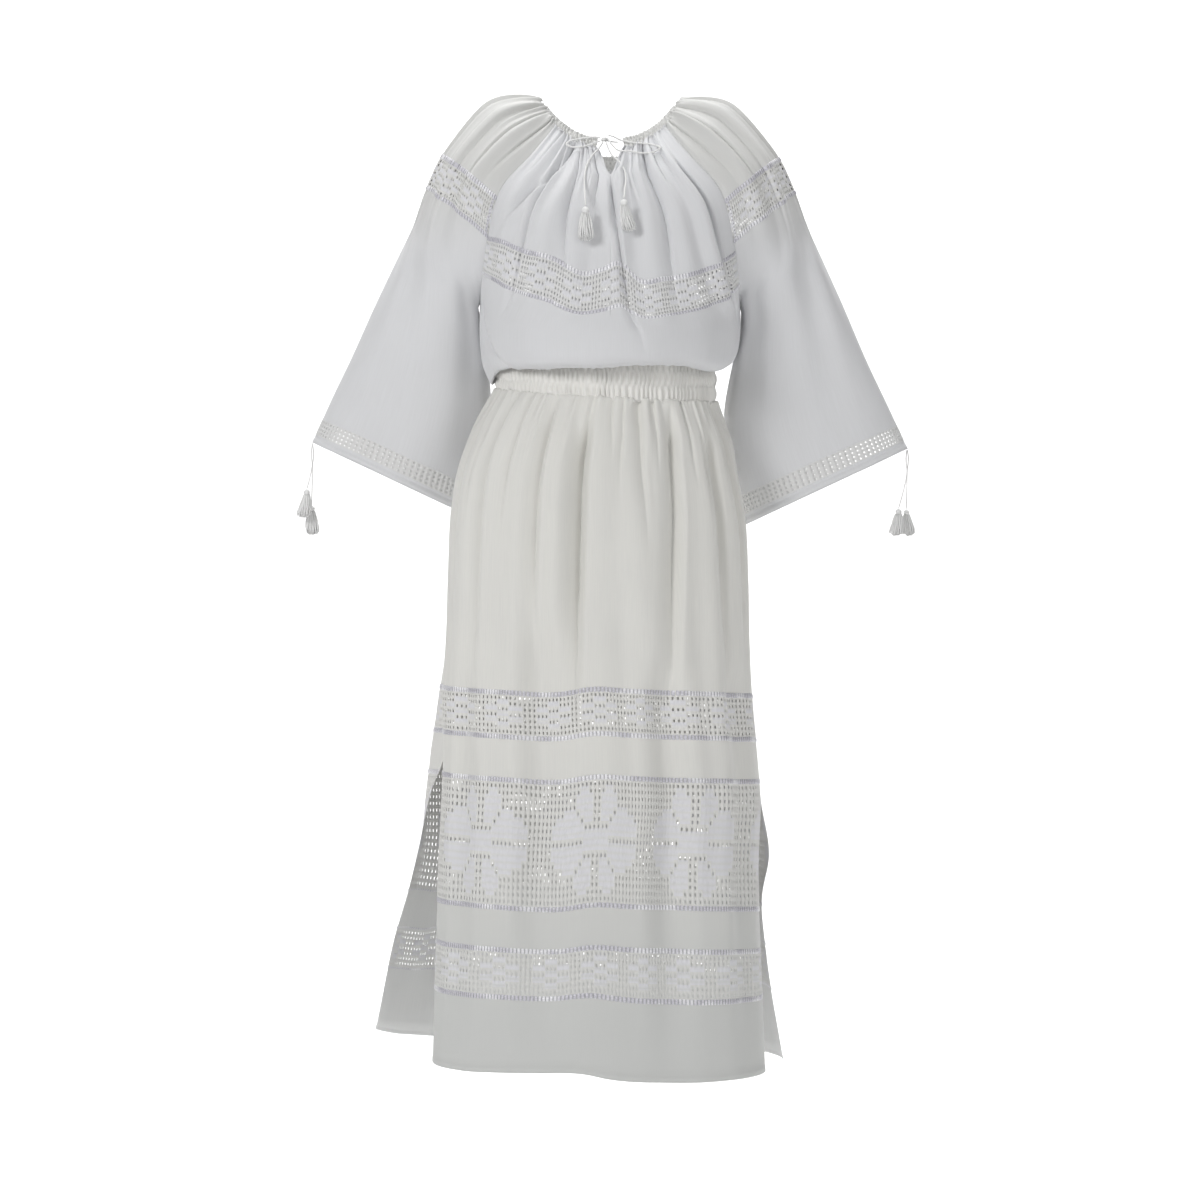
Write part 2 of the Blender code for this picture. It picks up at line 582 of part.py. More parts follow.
def build_front():
    """Two halves of the front, parted by the keyhole and joined below it."""
    halves = []
    for half, start, end in ((-1, 0.0, 0.5), (1, 0.5, 1.0)):
        u, v = panel_grid(BLOUSE_ROWS, FRONT_COLUMNS // 2, start, end)
        halves.append((Sheet(blouse_surface(u, v, FRONT, -1, half)), fold_heights(u, v, FRONT_FOLDS)))
    joined = BLOUSE_ROWS >= KEYHOLE_DEPTH
    middle = unit(halves[0][0].out[joined, -1] + halves[1][0].out[joined, 0])
    halves[0][0].out[joined, -1] = middle
    halves[1][0].out[joined, 0] = middle
    sheets = [Sheet(sheet.points + sheet.out * high[..., None]) for sheet, high in halves]
    middle = unit(sheets[0].out[joined, -1] + sheets[1].out[joined, 0])
    sheets[0].out[joined, -1] = middle
    sheets[1].out[joined, 0] = middle
    for sheet, half, start, end in zip(sheets, (-1, 1), (0.0, 0.5), (0.5, 1.0)):
        way = np.abs(2 * np.linspace(start, end, FRONT_COLUMNS // 2 + 1) - 1)
        turn = half * (KEYHOLE_TURN + (FRONT_TURN - KEYHOLE_TURN) * way)
        sheet.out[0] = ring_out(turn, NECK_TOP, NECK_FOOT)
    return sheets


def build_bodice(cloth):
    """Front, back and both sleeves, which share the seams between them."""
    arm = len(RAGLAN_ROWS)
    left, right = build_front()
    u_back, v_back = panel_grid(BLOUSE_ROWS, BACK_COLUMNS)
    rear = folded_sheet(lambda u, v: blouse_surface(u, v, BACK, 1), BACK_FOLDS, u_back, v_back, True)
    rear.out[0] = ring_out(math.pi - FRONT_TURN * (2 * u_back[0] - 1), NECK_TOP, NECK_FOOT)
    u, v = panel_grid(SLEEVE_ROWS, SLEEVE_COLUMNS)
    for side, name, panel, edge in ((-1, "sleeve_left", left, 0), (1, "sleeve_right", right, -1)):
        turned = side < 0
        sleeve = folded_sheet(lambda a, b, s=side: sleeve_surface(a, b, s), SLEEVE_FOLDS, u, v, turned)
        turn = side * (FRONT_TURN + (math.pi - 2 * FRONT_TURN) * u[0])
        sleeve.out[0] = ring_out(turn, NECK_TOP, NECK_FOOT)
        face_alike(panel.out[:arm - 1, edge], sleeve.out[:arm - 1, 0])
        face_alike(rear.out[:arm - 1, edge], sleeve.out[:arm - 1, -1])
        face_alike(panel.out[arm - 1:, edge], rear.out[arm - 1:, edge])
        face_alike(sleeve.out[arm - 1:, 0], sleeve.out[arm - 1:, -1])
        inner = 1 if edge == 0 else -2
        for body in (panel, rear):
            pull_in(body.points, (slice(None), edge), (slice(None), inner))
        pull_in(sleeve.points, (slice(0, arm - 1), 0), (slice(0, arm - 1), 1))
        pull_in(sleeve.points, (slice(0, arm - 1), -1), (slice(0, arm - 1), -2))
        pull_in(sleeve.points, 0, 1)
        cloth_wall(name, [sleeve], cloth, turned)
    for panel in (left, right, rear):
        pull_in(panel.points, 0, 1)
    cloth_wall("blouse_front", [left, right], cloth)
    cloth_wall("blouse_back", [rear], cloth, True)


def gathers(columns):
    """Zigzag of small gathers along a shirred band."""
    return GATHER_HEIGHT * np.where(np.arange(columns) % 2 == 0, -1.0, 1.0)


def build_neck_casing(cloth):
    """Shirred casing round the neck, open at the keyhole."""
    turn = np.linspace(KEYHOLE_TURN, 2 * math.pi - KEYHOLE_TURN, 2 * NECK_GATHERS + 1)
    sheet = Sheet(np.stack([neck_ring(turn, NECK_TOP), neck_ring(turn, NECK_FOOT)]))
    sheet.out[:] = ring_out(turn, NECK_TOP, NECK_FOOT)
    sheet.points += sheet.out * gathers(len(turn))[:, None]
    pull_in(sheet.points, -1, -2, SEAM_GAP)
    cloth_wall("neck_casing", [sheet], cloth)


def build_waistband(cloth):
    """Shirred band round the waist, closed on itself."""
    turn = np.linspace(0, 2 * math.pi, 2 * WAIST_GATHERS + 1)
    sheet = Sheet(np.stack([waist_ring(turn, WAIST_TOP), waist_ring(turn, WAIST_FOOT)]))
    along = waist_ring(turn + TURN_STEP, WAIST_TOP) - waist_ring(turn - TURN_STEP, WAIST_TOP)
    sheet.out[:] = unit(np.cross(np.array([0.0, 0.0, -1.0]), along))
    sheet.points += sheet.out * gathers(len(turn))[:, None]
    sheet.points[:, -1] = sheet.points[:, 0]
    sheet.out[:, -1] = sheet.out[:, 0]
    pull_in(sheet.points, -1, -2, SEAM_GAP)
    cloth_wall("waistband", [sheet], cloth)


def build_skirt(cloth):
    """Front and back of the skirt, sewn together down to the slits."""
    u, v = panel_grid(SKIRT_ROWS, SKIRT_FRONT_COLUMNS)
    front = folded_sheet(lambda a, b: skirt_surface(a, b, SKIRT_FRONT, -1), SKIRT_FRONT_FOLDS, u, v)
    u, v = panel_grid(SKIRT_ROWS, SKIRT_BACK_COLUMNS)
    back = folded_sheet(lambda a, b: skirt_surface(a, b, SKIRT_BACK, 1), SKIRT_BACK_FOLDS, u, v, True)
    for edge, inner, slit in ((0, 1, SLIT_LEFT), (-1, -2, SLIT_RIGHT)):
        sewn = SKIRT_ROWS <= slit
        total = unit(front.out[sewn, edge] + back.out[sewn, edge])
        for panel in (front, back):
            panel.out[sewn, edge] = total
            toward = unit(panel.points[sewn, inner] - panel.points[sewn, edge])
            panel.points[sewn, edge] += toward * SEAM_GAP / 2
    for panel in (front, back):
        panel.out[0, :, 2] = 0
        panel.out[0] = unit(panel.out[0])
    cloth_wall("skirt_front", [front], cloth)
    cloth_wall("skirt_back", [back], cloth, True)


def route_points(points, step):
    """Points a step apart along the smooth curve through a route's own points."""
    points = np.array(points, float)
    along = np.concatenate([[0], np.cumsum(np.linalg.norm(np.diff(points, axis=0), axis=1))])
    at = np.linspace(0, along[-1], max(int(round(along[-1] / step)), 4) + 1)
    return np.stack([smooth(at, along, points[:, i]) for i in range(3)], axis=1)


def add_tube(name, points, radii, material):
    """Round cord through the points, as a curve with filled ends."""
    curve = bpy.data.curves.new(name, "CURVE")
    curve.dimensions = "3D"
    curve.bevel_depth = 1.0
    curve.bevel_resolution = 2
    curve.use_fill_caps = True
    spline = curve.splines.new("POLY")
    spline.points.add(len(points) - 1)
    for point, place, radius in zip(spline.points, points, radii):
        point.co = (*place, 1)
        point.radius = radius
    curve.materials.append(material)
    thing = bpy.data.objects.new(name, curve)
    bpy.data.collections["midi_dress"].objects.link(thing)
    return thing


def build_tassel(name, spec, material):
    """Tassel: a tied head whose underside divides into hanging locks.

    The head is turned from a short profile. Each face of its underside is drawn in a little and
    pulled down into a lock, further out from the middle the further out it starts.
    """
    locks, long = spec["locks"], spec["long"]
    head = TASSEL_HEAD * long
    neck = TASSEL_NECK * spec["wide"]
    bm = bmesh.new()
    turns = [2 * math.pi * i / locks for i in range(locks)]
    rounds = list(zip(HEAD_PROFILE["share"], HEAD_PROFILE["down"])) + [(HEAD_UNDERSIDE, 1.0)]
    rings = [[bm.verts.new((neck * wide * math.cos(t), neck * wide * math.sin(t), -head * down))
              for t in turns] for wide, down in rounds]
    top, foot = bm.verts.new((0, 0, 0)), bm.verts.new((0, 0, -head))
    for i in range(locks):
        j = (i + 1) % locks
        bm.faces.new((top, rings[0][i], rings[0][j]))
        for upper, lower in zip(rings[:-1], rings[1:-1]):
            bm.faces.new((upper[j], upper[i], lower[i], lower[j]))
    under = []
    for i in range(locks):
        j = (i + 1) % locks
        under.append(bm.faces.new((rings[-2][j], rings[-2][i], rings[-1][i], rings[-1][j])))
        under.append(bm.faces.new((rings[-1][j], rings[-1][i], foot)))
    bmesh.ops.inset_individual(bm, faces=under, thickness=LOCK_GAP)
    drawn = bmesh.ops.extrude_discrete_faces(bm, faces=under)["faces"]
    for count, face in enumerate(drawn):
        middle = face.calc_center_median()
        drop = (long - head) * (1 - LOCK_UNEVEN + LOCK_UNEVEN * math.sin(LOCK_TURN * count))
        for vert in face.verts:
            away = (vert.co - middle) * LOCK_SPREAD
            vert.co.x = middle.x / neck * spec["wide"] * LOCK_FLARE + away.x + spec["lean"]
            vert.co.y = middle.y / neck * spec["deep"] * LOCK_FLARE + away.y
            vert.co.z -= drop
    mesh = bpy.data.meshes.new(name)
    bm.to_mesh(mesh)
    bm.free()
    mesh.shade_smooth()
    mesh.set_sharp_from_angle(angle=SHARP_ANGLE)
    mesh.materials.append(material)
    thing = bpy.data.objects.new(name, mesh)
    thing.location = spec["top"]
    bpy.data.collections["midi_dress"].objects.link(thing)


def cuff_tip(side):
    """The outer tip of a sleeve's cuff, where its ties hang."""
    u, v = np.array([[0.5]]), np.array([[SLEEVE_LENGTH]])
    return sleeve_surface(u, v, side)[0, 0]


def build_cuff_ties(thread):
    """Two thin cords from each cuff's tip, turned about each other and parted at their tassels."""
    for side, word in ((-1, "left"), (1, "right")):
        start = cuff_tip(side) - np.array([0, 0, CUFF_TIE_RADIUS])
        for half, letter in ((-1, "a"), (1, "b")):
            end = np.array(TASSELS[f"tassel_cuff_{word}_{letter}"]["top"]) + (0, 0, SEAM_GAP)
            length = start[2] - end[2]
            drop = np.linspace(0, length, CUFF_TIE_POINTS)[:, None]
            phase = math.pi * (np.minimum(drop / CUFF_TIE_PARTING, 1) - 0.5)
            part = np.clip((drop - CUFF_TIE_PARTING) / (length - CUFF_TIE_PARTING), 0, 1) ** CUFF_TIE_BEND
            spin = np.concatenate([np.cos(phase), np.sin(phase), 0 * drop], axis=1)
            spin *= half * CUFF_TIE_APART * (1 - part)
            line = np.concatenate([part * (end - start)[:2], -drop], axis=1)
            points = start + line + spin
            add_tube(f"cuff_tie_{word}_{letter}", points, [CUFF_TIE_RADIUS] * len(points), thread)


def build_neck_tie(thread):
    """Knot with the stretch between the casing's ends, two loops and two hanging ends."""
    knot = np.stack([KNOT["x"], KNOT["y"], KNOT["z"]], axis=1)
    add_tube("tie_knot", knot, KNOT["radius"], thread)
    for name, points in TIE_ROUTES.items():
        route = route_points(points, TIE_STEP)
        add_tube(name, route, [TIE_RADIUS] * len(route), thread)


def main():
    for thing in list(bpy.data.objects):
        bpy.data.objects.remove(thing, do_unlink=True)
    dress = bpy.data.collections.new("midi_dress")
    bpy.context.scene.collection.children.link(dress)
    cloth = make_material("white_cotton", (0.80, 0.81, 0.82), 0.85)
    thread = make_material("white_thread", (0.86, 0.86, 0.84), 0.75)
    build_bodice(cloth)
    build_neck_casing(cloth)
    build_waistband(cloth)
    build_skirt(cloth)
    build_neck_tie(thread)
    build_cuff_ties(thread)
    for name, spec in TASSELS.items():
        build_tassel(name, spec, thread)


main()
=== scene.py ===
"""Looks of a traditional white midi dress, filled out as it is worn.

Every cloth panel is a surface of two numbers: u runs across it from its left seam to its right
one, and v runs down it in metres from the neck or the waist. A panel's fine mesh is that surface
on a grid whose lines follow the weave: the cells of the openwork bands are real holes between
bundles of threads. Folds, valleys, gathers and hems are heights added along the surface's outward
directions. The camera, the ties and the tassels come first, then the cloth, the floor and the
light.
"""

import math

import bmesh
import bpy
import mathutils
import numpy as np
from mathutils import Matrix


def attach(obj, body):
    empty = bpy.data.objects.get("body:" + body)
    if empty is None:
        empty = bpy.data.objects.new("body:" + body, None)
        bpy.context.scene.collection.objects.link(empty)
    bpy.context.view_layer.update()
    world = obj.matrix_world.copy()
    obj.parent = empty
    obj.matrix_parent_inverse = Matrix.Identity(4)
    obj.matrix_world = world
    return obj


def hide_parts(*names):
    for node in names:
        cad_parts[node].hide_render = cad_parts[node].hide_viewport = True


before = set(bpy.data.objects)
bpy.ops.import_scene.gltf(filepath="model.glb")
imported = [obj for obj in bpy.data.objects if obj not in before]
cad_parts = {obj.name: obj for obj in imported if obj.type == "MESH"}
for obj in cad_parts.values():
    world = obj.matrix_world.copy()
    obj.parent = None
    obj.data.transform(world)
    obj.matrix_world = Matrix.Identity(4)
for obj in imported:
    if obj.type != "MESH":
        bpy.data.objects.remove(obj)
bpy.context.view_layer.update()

# Camera: place in metres, lens and sensor in millimetres
CAMERA_PLACE = (-0.006, -4.0, -0.590)
CAMERA_LENS = 100
CAMERA_SENSOR = 36

# Thickness of the cloth, and the dress's middle across
CLOTH = 0.0005
CENTRE_X = 0.006

# Neck casing: half width, front and back depth, height at the front, back and sides
NECK_TOP = {"half": 0.076, "front": 0.072, "back": 0.066,
            "low": -0.046, "rear": -0.050, "side": -0.001}
NECK_FOOT = {"half": 0.088, "front": 0.083, "back": 0.078,
             "low": -0.061, "rear": -0.064, "side": 0.009}
NECK_RISE = 2.5
NECK_GATHERS = 92
NECK_PUFF = 0.0026
FRONT_TURN = math.radians(48)
KEYHOLE_TURN = math.radians(11)
KEYHOLE_HALF = 0.016
KEYHOLE_DEPTH = 0.048
KEYHOLE_ROUND = 0.55
TURN_STEP = 0.01

# Waistband: half width, front and back depth, height, drop to the right, and dip at the front
WAIST_TOP = {"half": 0.129, "front": 0.0975, "back": 0.092,
             "z": -0.299, "tilt": 0.000, "dip": 0.006}
WAIST_FOOT = {"half": 0.130, "front": 0.0985, "back": 0.093,
              "z": -0.3435, "tilt": 0.0075, "dip": 0.010}
WAIST_CENTRE_X = 0.001
WAIST_GATHERS = 124
WAIST_PUFF = 0.0034
PUFF_ROWS = 3
PUFF_MAP = 0.03
BLOUSE_REST = 0.0011
SKIRT_EASE = 0.040

# Down the seam from the neck to the underarm, how soon a panel leaves the neck's ring, and how
# much shallower a sleeve is behind
ARM = 0.276
RING_EASE = 0.060
BACK_SHARE = 0.9


def table(columns, rows):
    """Name the columns of a short table of rows."""
    return {name: np.array(values, float) for name, values in zip(columns.split(), zip(*rows))}


# Seam between sleeve and body: distance out from the centre line, and height
RAGLAN = table("v out z", [
    (0.000, 0.064, -0.031),
    (0.055, 0.096, -0.070),
    (0.107, 0.128, -0.108),
    (0.168, 0.144, -0.166),
    (0.222, 0.151, -0.206),
    (ARM, 0.156, -0.237),
])

# Inner edge of the sleeve below the arm: distance out on each side, depth behind the seam, height
INNER = table("v left right y z", [
    (ARM, 0.1587, 0.1587, 0.000, -0.237),
    (0.300, 0.1545, 0.1580, 0.022, -0.262),
    (0.340, 0.1480, 0.1490, 0.046, -0.302),
    (0.400, 0.1450, 0.1390, 0.066, -0.366),
    (0.460, 0.1520, 0.1470, 0.082, -0.428),
    (0.520, 0.1660, 0.1660, 0.090, -0.490),
])

# Sleeve: outer edge, half depth, and how far round its section starts at the body's seam
SLEEVE = table("v out y z deep start", [
    (0.000, 0.088, 0.000, 0.016, 0.0560, 90),
    (0.055, 0.142, 0.000, 0.004, 0.0850, 90),
    (0.107, 0.191, 0.000, -0.050, 0.0960, 80),
    (0.168, 0.219, 0.005, -0.099, 0.0880, 76),
    (0.222, 0.237, 0.012, -0.142, 0.0660, 66),
    (ARM, 0.259, 0.020, -0.188, 0.0580, 0),
    (0.340, 0.287, 0.035, -0.243, 0.0540, 0),
    (0.400, 0.313, 0.050, -0.296, 0.0480, 0),
    (0.460, 0.339, 0.066, -0.346, 0.0440, 0),
    (0.520, 0.364, 0.080, -0.397, 0.0400, 0),
])
SLEEVE_LENGTH = 0.520
RIGHT_CUFF_DROP = 0.008

# Side seams of the bodice below the arm: distance out and height, on the left and on the right
SIDE = table("v left left_z right right_z", [
    (ARM, 0.1560, -0.237, 0.1560, -0.237),
    (0.305, 0.1560, -0.266, 0.1560, -0.267),
    (0.335, 0.1510, -0.297, 0.1520, -0.292),
    (0.357, 0.1400, -0.317, 0.1430, -0.304),
    (0.372, 0.1340, -0.312, 0.1350, -0.303),
    (0.382, 0.1310, -0.298, 0.1300, -0.298),
])

# Middle of the bodice's front and back: depth, height, and how far the section turns to its seam
FRONT = table("v y z turn", [
    (0.000, -0.083, -0.061, 48),
    (0.055, -0.118, -0.102, 55),
    (0.107, -0.137, -0.146, 62),
    (0.168, -0.146, -0.208, 70),
    (0.222, -0.150, -0.258, 80),
    (ARM, -0.152, -0.284, 90),
    (0.305, -0.147, -0.302, 90),
    (0.335, -0.134, -0.314, 90),
    (0.357, -0.116, -0.314, 90),
    (0.372, -0.106, -0.306, 90),
    (0.382, -0.0975, -0.304, 90),
])
BACK = table("v y z turn", [
    (0.000, 0.078, -0.064, 48),
    (0.055, 0.099, -0.100, 55),
    (0.107, 0.110, -0.145, 62),
    (0.168, 0.116, -0.205, 70),
    (0.222, 0.119, -0.252, 80),
    (ARM, 0.121, -0.284, 90),
    (0.305, 0.121, -0.308, 90),
    (0.335, 0.116, -0.322, 90),
    (0.357, 0.108, -0.320, 90),
    (0.372, 0.101, -0.306, 90),
    (0.382, 0.092, -0.298, 90),
])
BLOUSE_LENGTH = 0.382
BLOUSE_TURN_IN = 0.028
BLOUSE_TURN_EASE = 0.018

# How far the bloused front hangs lower in places across it, and both panels at their left seam
FRONT_SAG = table("u low", [
    (0.00, 0.000), (0.15, 0.001), (0.32, 0.005), (0.50, 0.003), (0.68, 0.002), (0.84, 0.011),
    (0.95, 0.003), (1.00, 0.000),
])
SAG_START = 0.270
SAG_EASE = 0.060
SIDE_SAG = 0.016
SIDE_SAG_WIDE = 0.16

# Skirt front: both edges, the middle's depth and the height, down from the waist
SKIRT_FRONT = table("v left left_y right right_y middle_y z lift drop turn_left turn_right", [
    (0.000, -0.1290, -0.004, 0.1310, 0.004, -0.0980, -0.3465, 0.0075, 0.0075, 90, 90),
    (0.020, -0.1440, -0.006, 0.1390, 0.005, -0.1030, -0.3670, 0.0075, 0.0075, 90, 90),
    (0.046, -0.1580, -0.008, 0.1500, 0.007, -0.1090, -0.3930, 0.0075, 0.0075, 90, 90),
    (0.086, -0.1740, -0.012, 0.1590, 0.009, -0.1160, -0.4330, 0.0070, 0.0075, 90, 90),
    (0.135, -0.1830, -0.018, 0.1680, 0.012, -0.1210, -0.4820, 0.0065, 0.0080, 90, 90),
    (0.213, -0.1870, -0.026, 0.1720, 0.015, -0.1250, -0.5600, 0.0060, 0.0080, 90, 90),
    (0.291, -0.1890, -0.034, 0.1740, 0.018, -0.1290, -0.6380, 0.0055, 0.0085, 90, 90),
    (0.353, -0.1920, -0.040, 0.1770, 0.020, -0.1320, -0.7000, 0.0050, 0.0090, 90, 90),
    (0.438, -0.1920, -0.045, 0.1850, 0.021, -0.1350, -0.7850, 0.0045, 0.0100, 90, 90),
    (0.472, -0.1930, -0.048, 0.1870, 0.020, -0.1370, -0.8190, 0.0045, 0.0105, 90, 90),
    (0.543, -0.1960, -0.056, 0.1840, 0.006, -0.1400, -0.8900, 0.0045, 0.0120, 90, 90),
    (0.650, -0.1990, -0.064, 0.1860, -0.008, -0.1440, -0.9970, 0.0040, 0.0150, 90, 90),
    (0.790, -0.2030, -0.072, 0.1900, -0.020, -0.1500, -1.1370, 0.0040, 0.0190, 90, 90),
])
SKIRT_LENGTH = 0.790

# How far the front's hem hangs lower in places across it
HEM_DIP = table("u low", [
    (0.00, 0.000), (0.20, 0.003), (0.38, 0.001), (0.47, 0.001), (0.52, 0.007), (0.64, 0.011),
    (0.80, 0.007), (0.93, 0.000), (1.00, -0.006),
])
HEM_DIP_START = 0.600

# Skirt back: the same, with free edges below the slits and a turn past the side where it bulges
SKIRT_BACK = table("v left left_y right right_y middle_y lift drop turn_left turn_right", [
    (0.000, -0.1290, -0.004, 0.1310, 0.004, 0.0920, 0.0075, 0.0075, 90, 90),
    (0.020, -0.1440, -0.006, 0.1390, 0.005, 0.0970, 0.0075, 0.0075, 90, 90),
    (0.046, -0.1580, -0.008, 0.1500, 0.007, 0.1030, 0.0075, 0.0075, 90, 90),
    (0.086, -0.1740, -0.012, 0.1590, 0.009, 0.1100, 0.0070, 0.0075, 90, 90),
    (0.135, -0.1830, -0.018, 0.1680, 0.012, 0.1160, 0.0065, 0.0080, 90, 90),
    (0.213, -0.1870, -0.026, 0.1720, 0.015, 0.1210, 0.0060, 0.0080, 91, 90),
    (0.291, -0.1890, -0.034, 0.1740, 0.018, 0.1260, 0.0055, 0.0085, 94, 90),
    (0.353, -0.1920, -0.040, 0.1770, 0.020, 0.1300, 0.0050, 0.0090, 102, 90),
    (0.438, -0.1920, -0.045, 0.1850, 0.021, 0.1350, 0.0045, 0.0100, 114, 90),
    (0.472, -0.2050, -0.040, 0.1870, 0.020, 0.1360, 0.0060, 0.0105, 106, 92),
    (0.543, -0.2210, -0.026, 0.1980, 0.034, 0.1400, 0.0080, 0.0110, 94, 92),
    (0.590, -0.2320, -0.014, 0.1900, 0.038, 0.1420, 0.0100, 0.0110, 90, 90),
    (0.650, -0.2490, -0.002, 0.1940, 0.040, 0.1440, 0.0130, 0.0110, 90, 90),
    (0.790, -0.2760, 0.020, 0.2160, 0.044, 0.1500, 0.0300, 0.0110, 90, 90),
])

# How fast a fold rises from its start, falls at its end, and dies away towards a seam
FOLD_RISE = 6
FOLD_FALL = 2
FOLD_EDGE = 12

# Folds: middle at the fold's top and foot, half width, height, and where it starts and ends
FRONT_FOLDS = table("top foot wide high start end", [
    (0.10, 0.10, 0.060, 0.005, 0.010, 0.230),
    (0.20, 0.15, 0.060, 0.005, 0.000, 0.290),
    (0.30, 0.25, 0.055, 0.006, 0.000, 0.280),
    (0.40, 0.37, 0.055, 0.006, 0.000, 0.310),
    (0.56, 0.52, 0.045, 0.007, 0.010, 0.230),
    (0.64, 0.64, 0.060, 0.007, 0.000, 0.300),
    (0.74, 0.77, 0.055, 0.006, 0.000, 0.270),
    (0.85, 0.88, 0.060, 0.007, 0.000, 0.330),
])
BACK_FOLDS = table("top foot wide high start end", [
    (0.14, 0.12, 0.070, 0.004, 0.000, 0.280),
    (0.29, 0.27, 0.070, 0.005, 0.000, 0.250),
    (0.43, 0.42, 0.070, 0.004, 0.000, 0.300),
    (0.57, 0.58, 0.070, 0.005, 0.000, 0.260),
    (0.71, 0.73, 0.070, 0.005, 0.000, 0.300),
    (0.86, 0.88, 0.070, 0.004, 0.000, 0.270),
])
SLEEVE_FOLDS = table("top foot wide high start end", [
    (0.13, 0.16, 0.060, 0.006, 0.000, 0.240),
    (0.27, 0.26, 0.060, 0.007, 0.000, 0.330),
    (0.41, 0.38, 0.055, 0.005, 0.000, 0.420),
    (0.60, 0.60, 0.060, 0.005, 0.000, 0.400),
    (0.75, 0.72, 0.060, 0.005, 0.000, 0.300),
    (0.88, 0.86, 0.060, 0.004, 0.000, 0.240),
])
SKIRT_FRONT_FOLDS = table("top foot wide high start end", [
    (0.07, 0.05, 0.040, 0.0024, 0.000, 0.500),
    (0.15, 0.13, 0.045, 0.0030, 0.000, 0.600),
    (0.24, 0.22, 0.040, 0.0030, 0.000, 0.420),
    (0.32, 0.31, 0.045, 0.0036, 0.000, 0.850),
    (0.41, 0.40, 0.045, 0.0036, 0.000, 0.880),
    (0.50, 0.50, 0.040, 0.0024, 0.000, 0.300),
    (0.58, 0.60, 0.045, 0.0036, 0.000, 0.850),
    (0.67, 0.69, 0.040, 0.0030, 0.000, 0.520),
    (0.76, 0.79, 0.045, 0.0036, 0.000, 0.800),
    (0.85, 0.88, 0.040, 0.0030, 0.000, 0.560),
    (0.93, 0.95, 0.040, 0.0024, 0.000, 0.420),
])
SKIRT_BACK_FOLDS = table("top foot wide high start end", [
    (0.10, 0.09, 0.055, 0.005, 0.000, 0.520),
    (0.21, 0.20, 0.055, 0.006, 0.000, 0.800),
    (0.33, 0.32, 0.055, 0.005, 0.000, 0.600),
    (0.44, 0.44, 0.055, 0.006, 0.000, 0.850),
    (0.56, 0.57, 0.055, 0.005, 0.000, 0.550),
    (0.67, 0.69, 0.055, 0.006, 0.000, 0.820),
    (0.79, 0.81, 0.055, 0.005, 0.000, 0.600),
    (0.90, 0.91, 0.055, 0.005, 0.000, 0.500),
])

# A valley wider than this is a soft hollow. On its right, a narrower one has only this share of
# its width
VALLEY_BROAD = 0.058
VALLEY_STEEP = 0.35

# How sharply a narrow valley sinks, and how fast a valley starts, ends and dies away at a seam
VALLEY_SHARP = 1.7
VALLEY_RISE = 9
VALLEY_FALL = 1.6
VALLEY_EDGE = 20

# Valleys between the folds: middle at top and foot, half width, depth, start and end
FRONT_VALLEYS = table("top foot wide high start end", [
    (0.270, 0.030, 0.036, 0.0085, 0.010, 0.180),
    (0.120, 0.060, 0.020, 0.0040, 0.000, 0.100),
    (0.200, 0.190, 0.030, 0.0070, 0.020, 0.290),
    (0.310, 0.370, 0.032, 0.0070, 0.015, 0.230),
    (0.390, 0.400, 0.016, 0.0030, 0.000, 0.090),
    (0.440, 0.430, 0.018, 0.0040, 0.005, 0.140),
    (0.500, 0.590, 0.030, 0.0120, 0.036, 0.330),
    (0.620, 0.620, 0.018, 0.0040, 0.000, 0.110),
    (0.720, 0.690, 0.032, 0.0080, 0.008, 0.250),
    (0.780, 0.770, 0.016, 0.0040, 0.000, 0.100),
    (0.840, 0.820, 0.018, 0.0040, 0.000, 0.100),
    (0.900, 0.930, 0.036, 0.0120, 0.040, 0.340),
    (0.040, 0.230, 0.057, 0.0170, 0.262, 0.372),
])
BACK_VALLEYS = table("top foot wide high start end", [
    (0.090, 0.060, 0.024, 0.0050, 0.010, 0.240),
    (0.210, 0.170, 0.024, 0.0050, 0.000, 0.200),
    (0.320, 0.310, 0.020, 0.0045, 0.000, 0.160),
    (0.410, 0.420, 0.020, 0.0040, 0.000, 0.220),
    (0.500, 0.490, 0.022, 0.0060, 0.010, 0.300),
    (0.600, 0.620, 0.020, 0.0045, 0.000, 0.180),
    (0.700, 0.730, 0.022, 0.0050, 0.000, 0.220),
    (0.800, 0.860, 0.026, 0.0055, 0.010, 0.200),
    (0.910, 0.930, 0.024, 0.0050, 0.020, 0.280),
])
SLEEVE_VALLEYS = table("top foot wide high start end", [
    (0.050, 0.090, 0.022, 0.0040, 0.000, 0.120),
    (0.140, 0.190, 0.028, 0.0055, 0.000, 0.180),
    (0.230, 0.260, 0.026, 0.0050, 0.000, 0.260),
    (0.310, 0.330, 0.028, 0.0055, 0.000, 0.200),
    (0.400, 0.400, 0.030, 0.0060, 0.000, 0.300),
    (0.480, 0.470, 0.028, 0.0050, 0.000, 0.180),
    (0.570, 0.560, 0.030, 0.0055, 0.000, 0.240),
    (0.660, 0.640, 0.028, 0.0050, 0.000, 0.200),
    (0.760, 0.730, 0.028, 0.0050, 0.000, 0.220),
    (0.860, 0.830, 0.026, 0.0050, 0.000, 0.140),
    (0.330, 0.300, 0.060, 0.0040, 0.250, 0.560),
    (0.120, 0.140, 0.060, 0.0030, 0.240, 0.560),
])
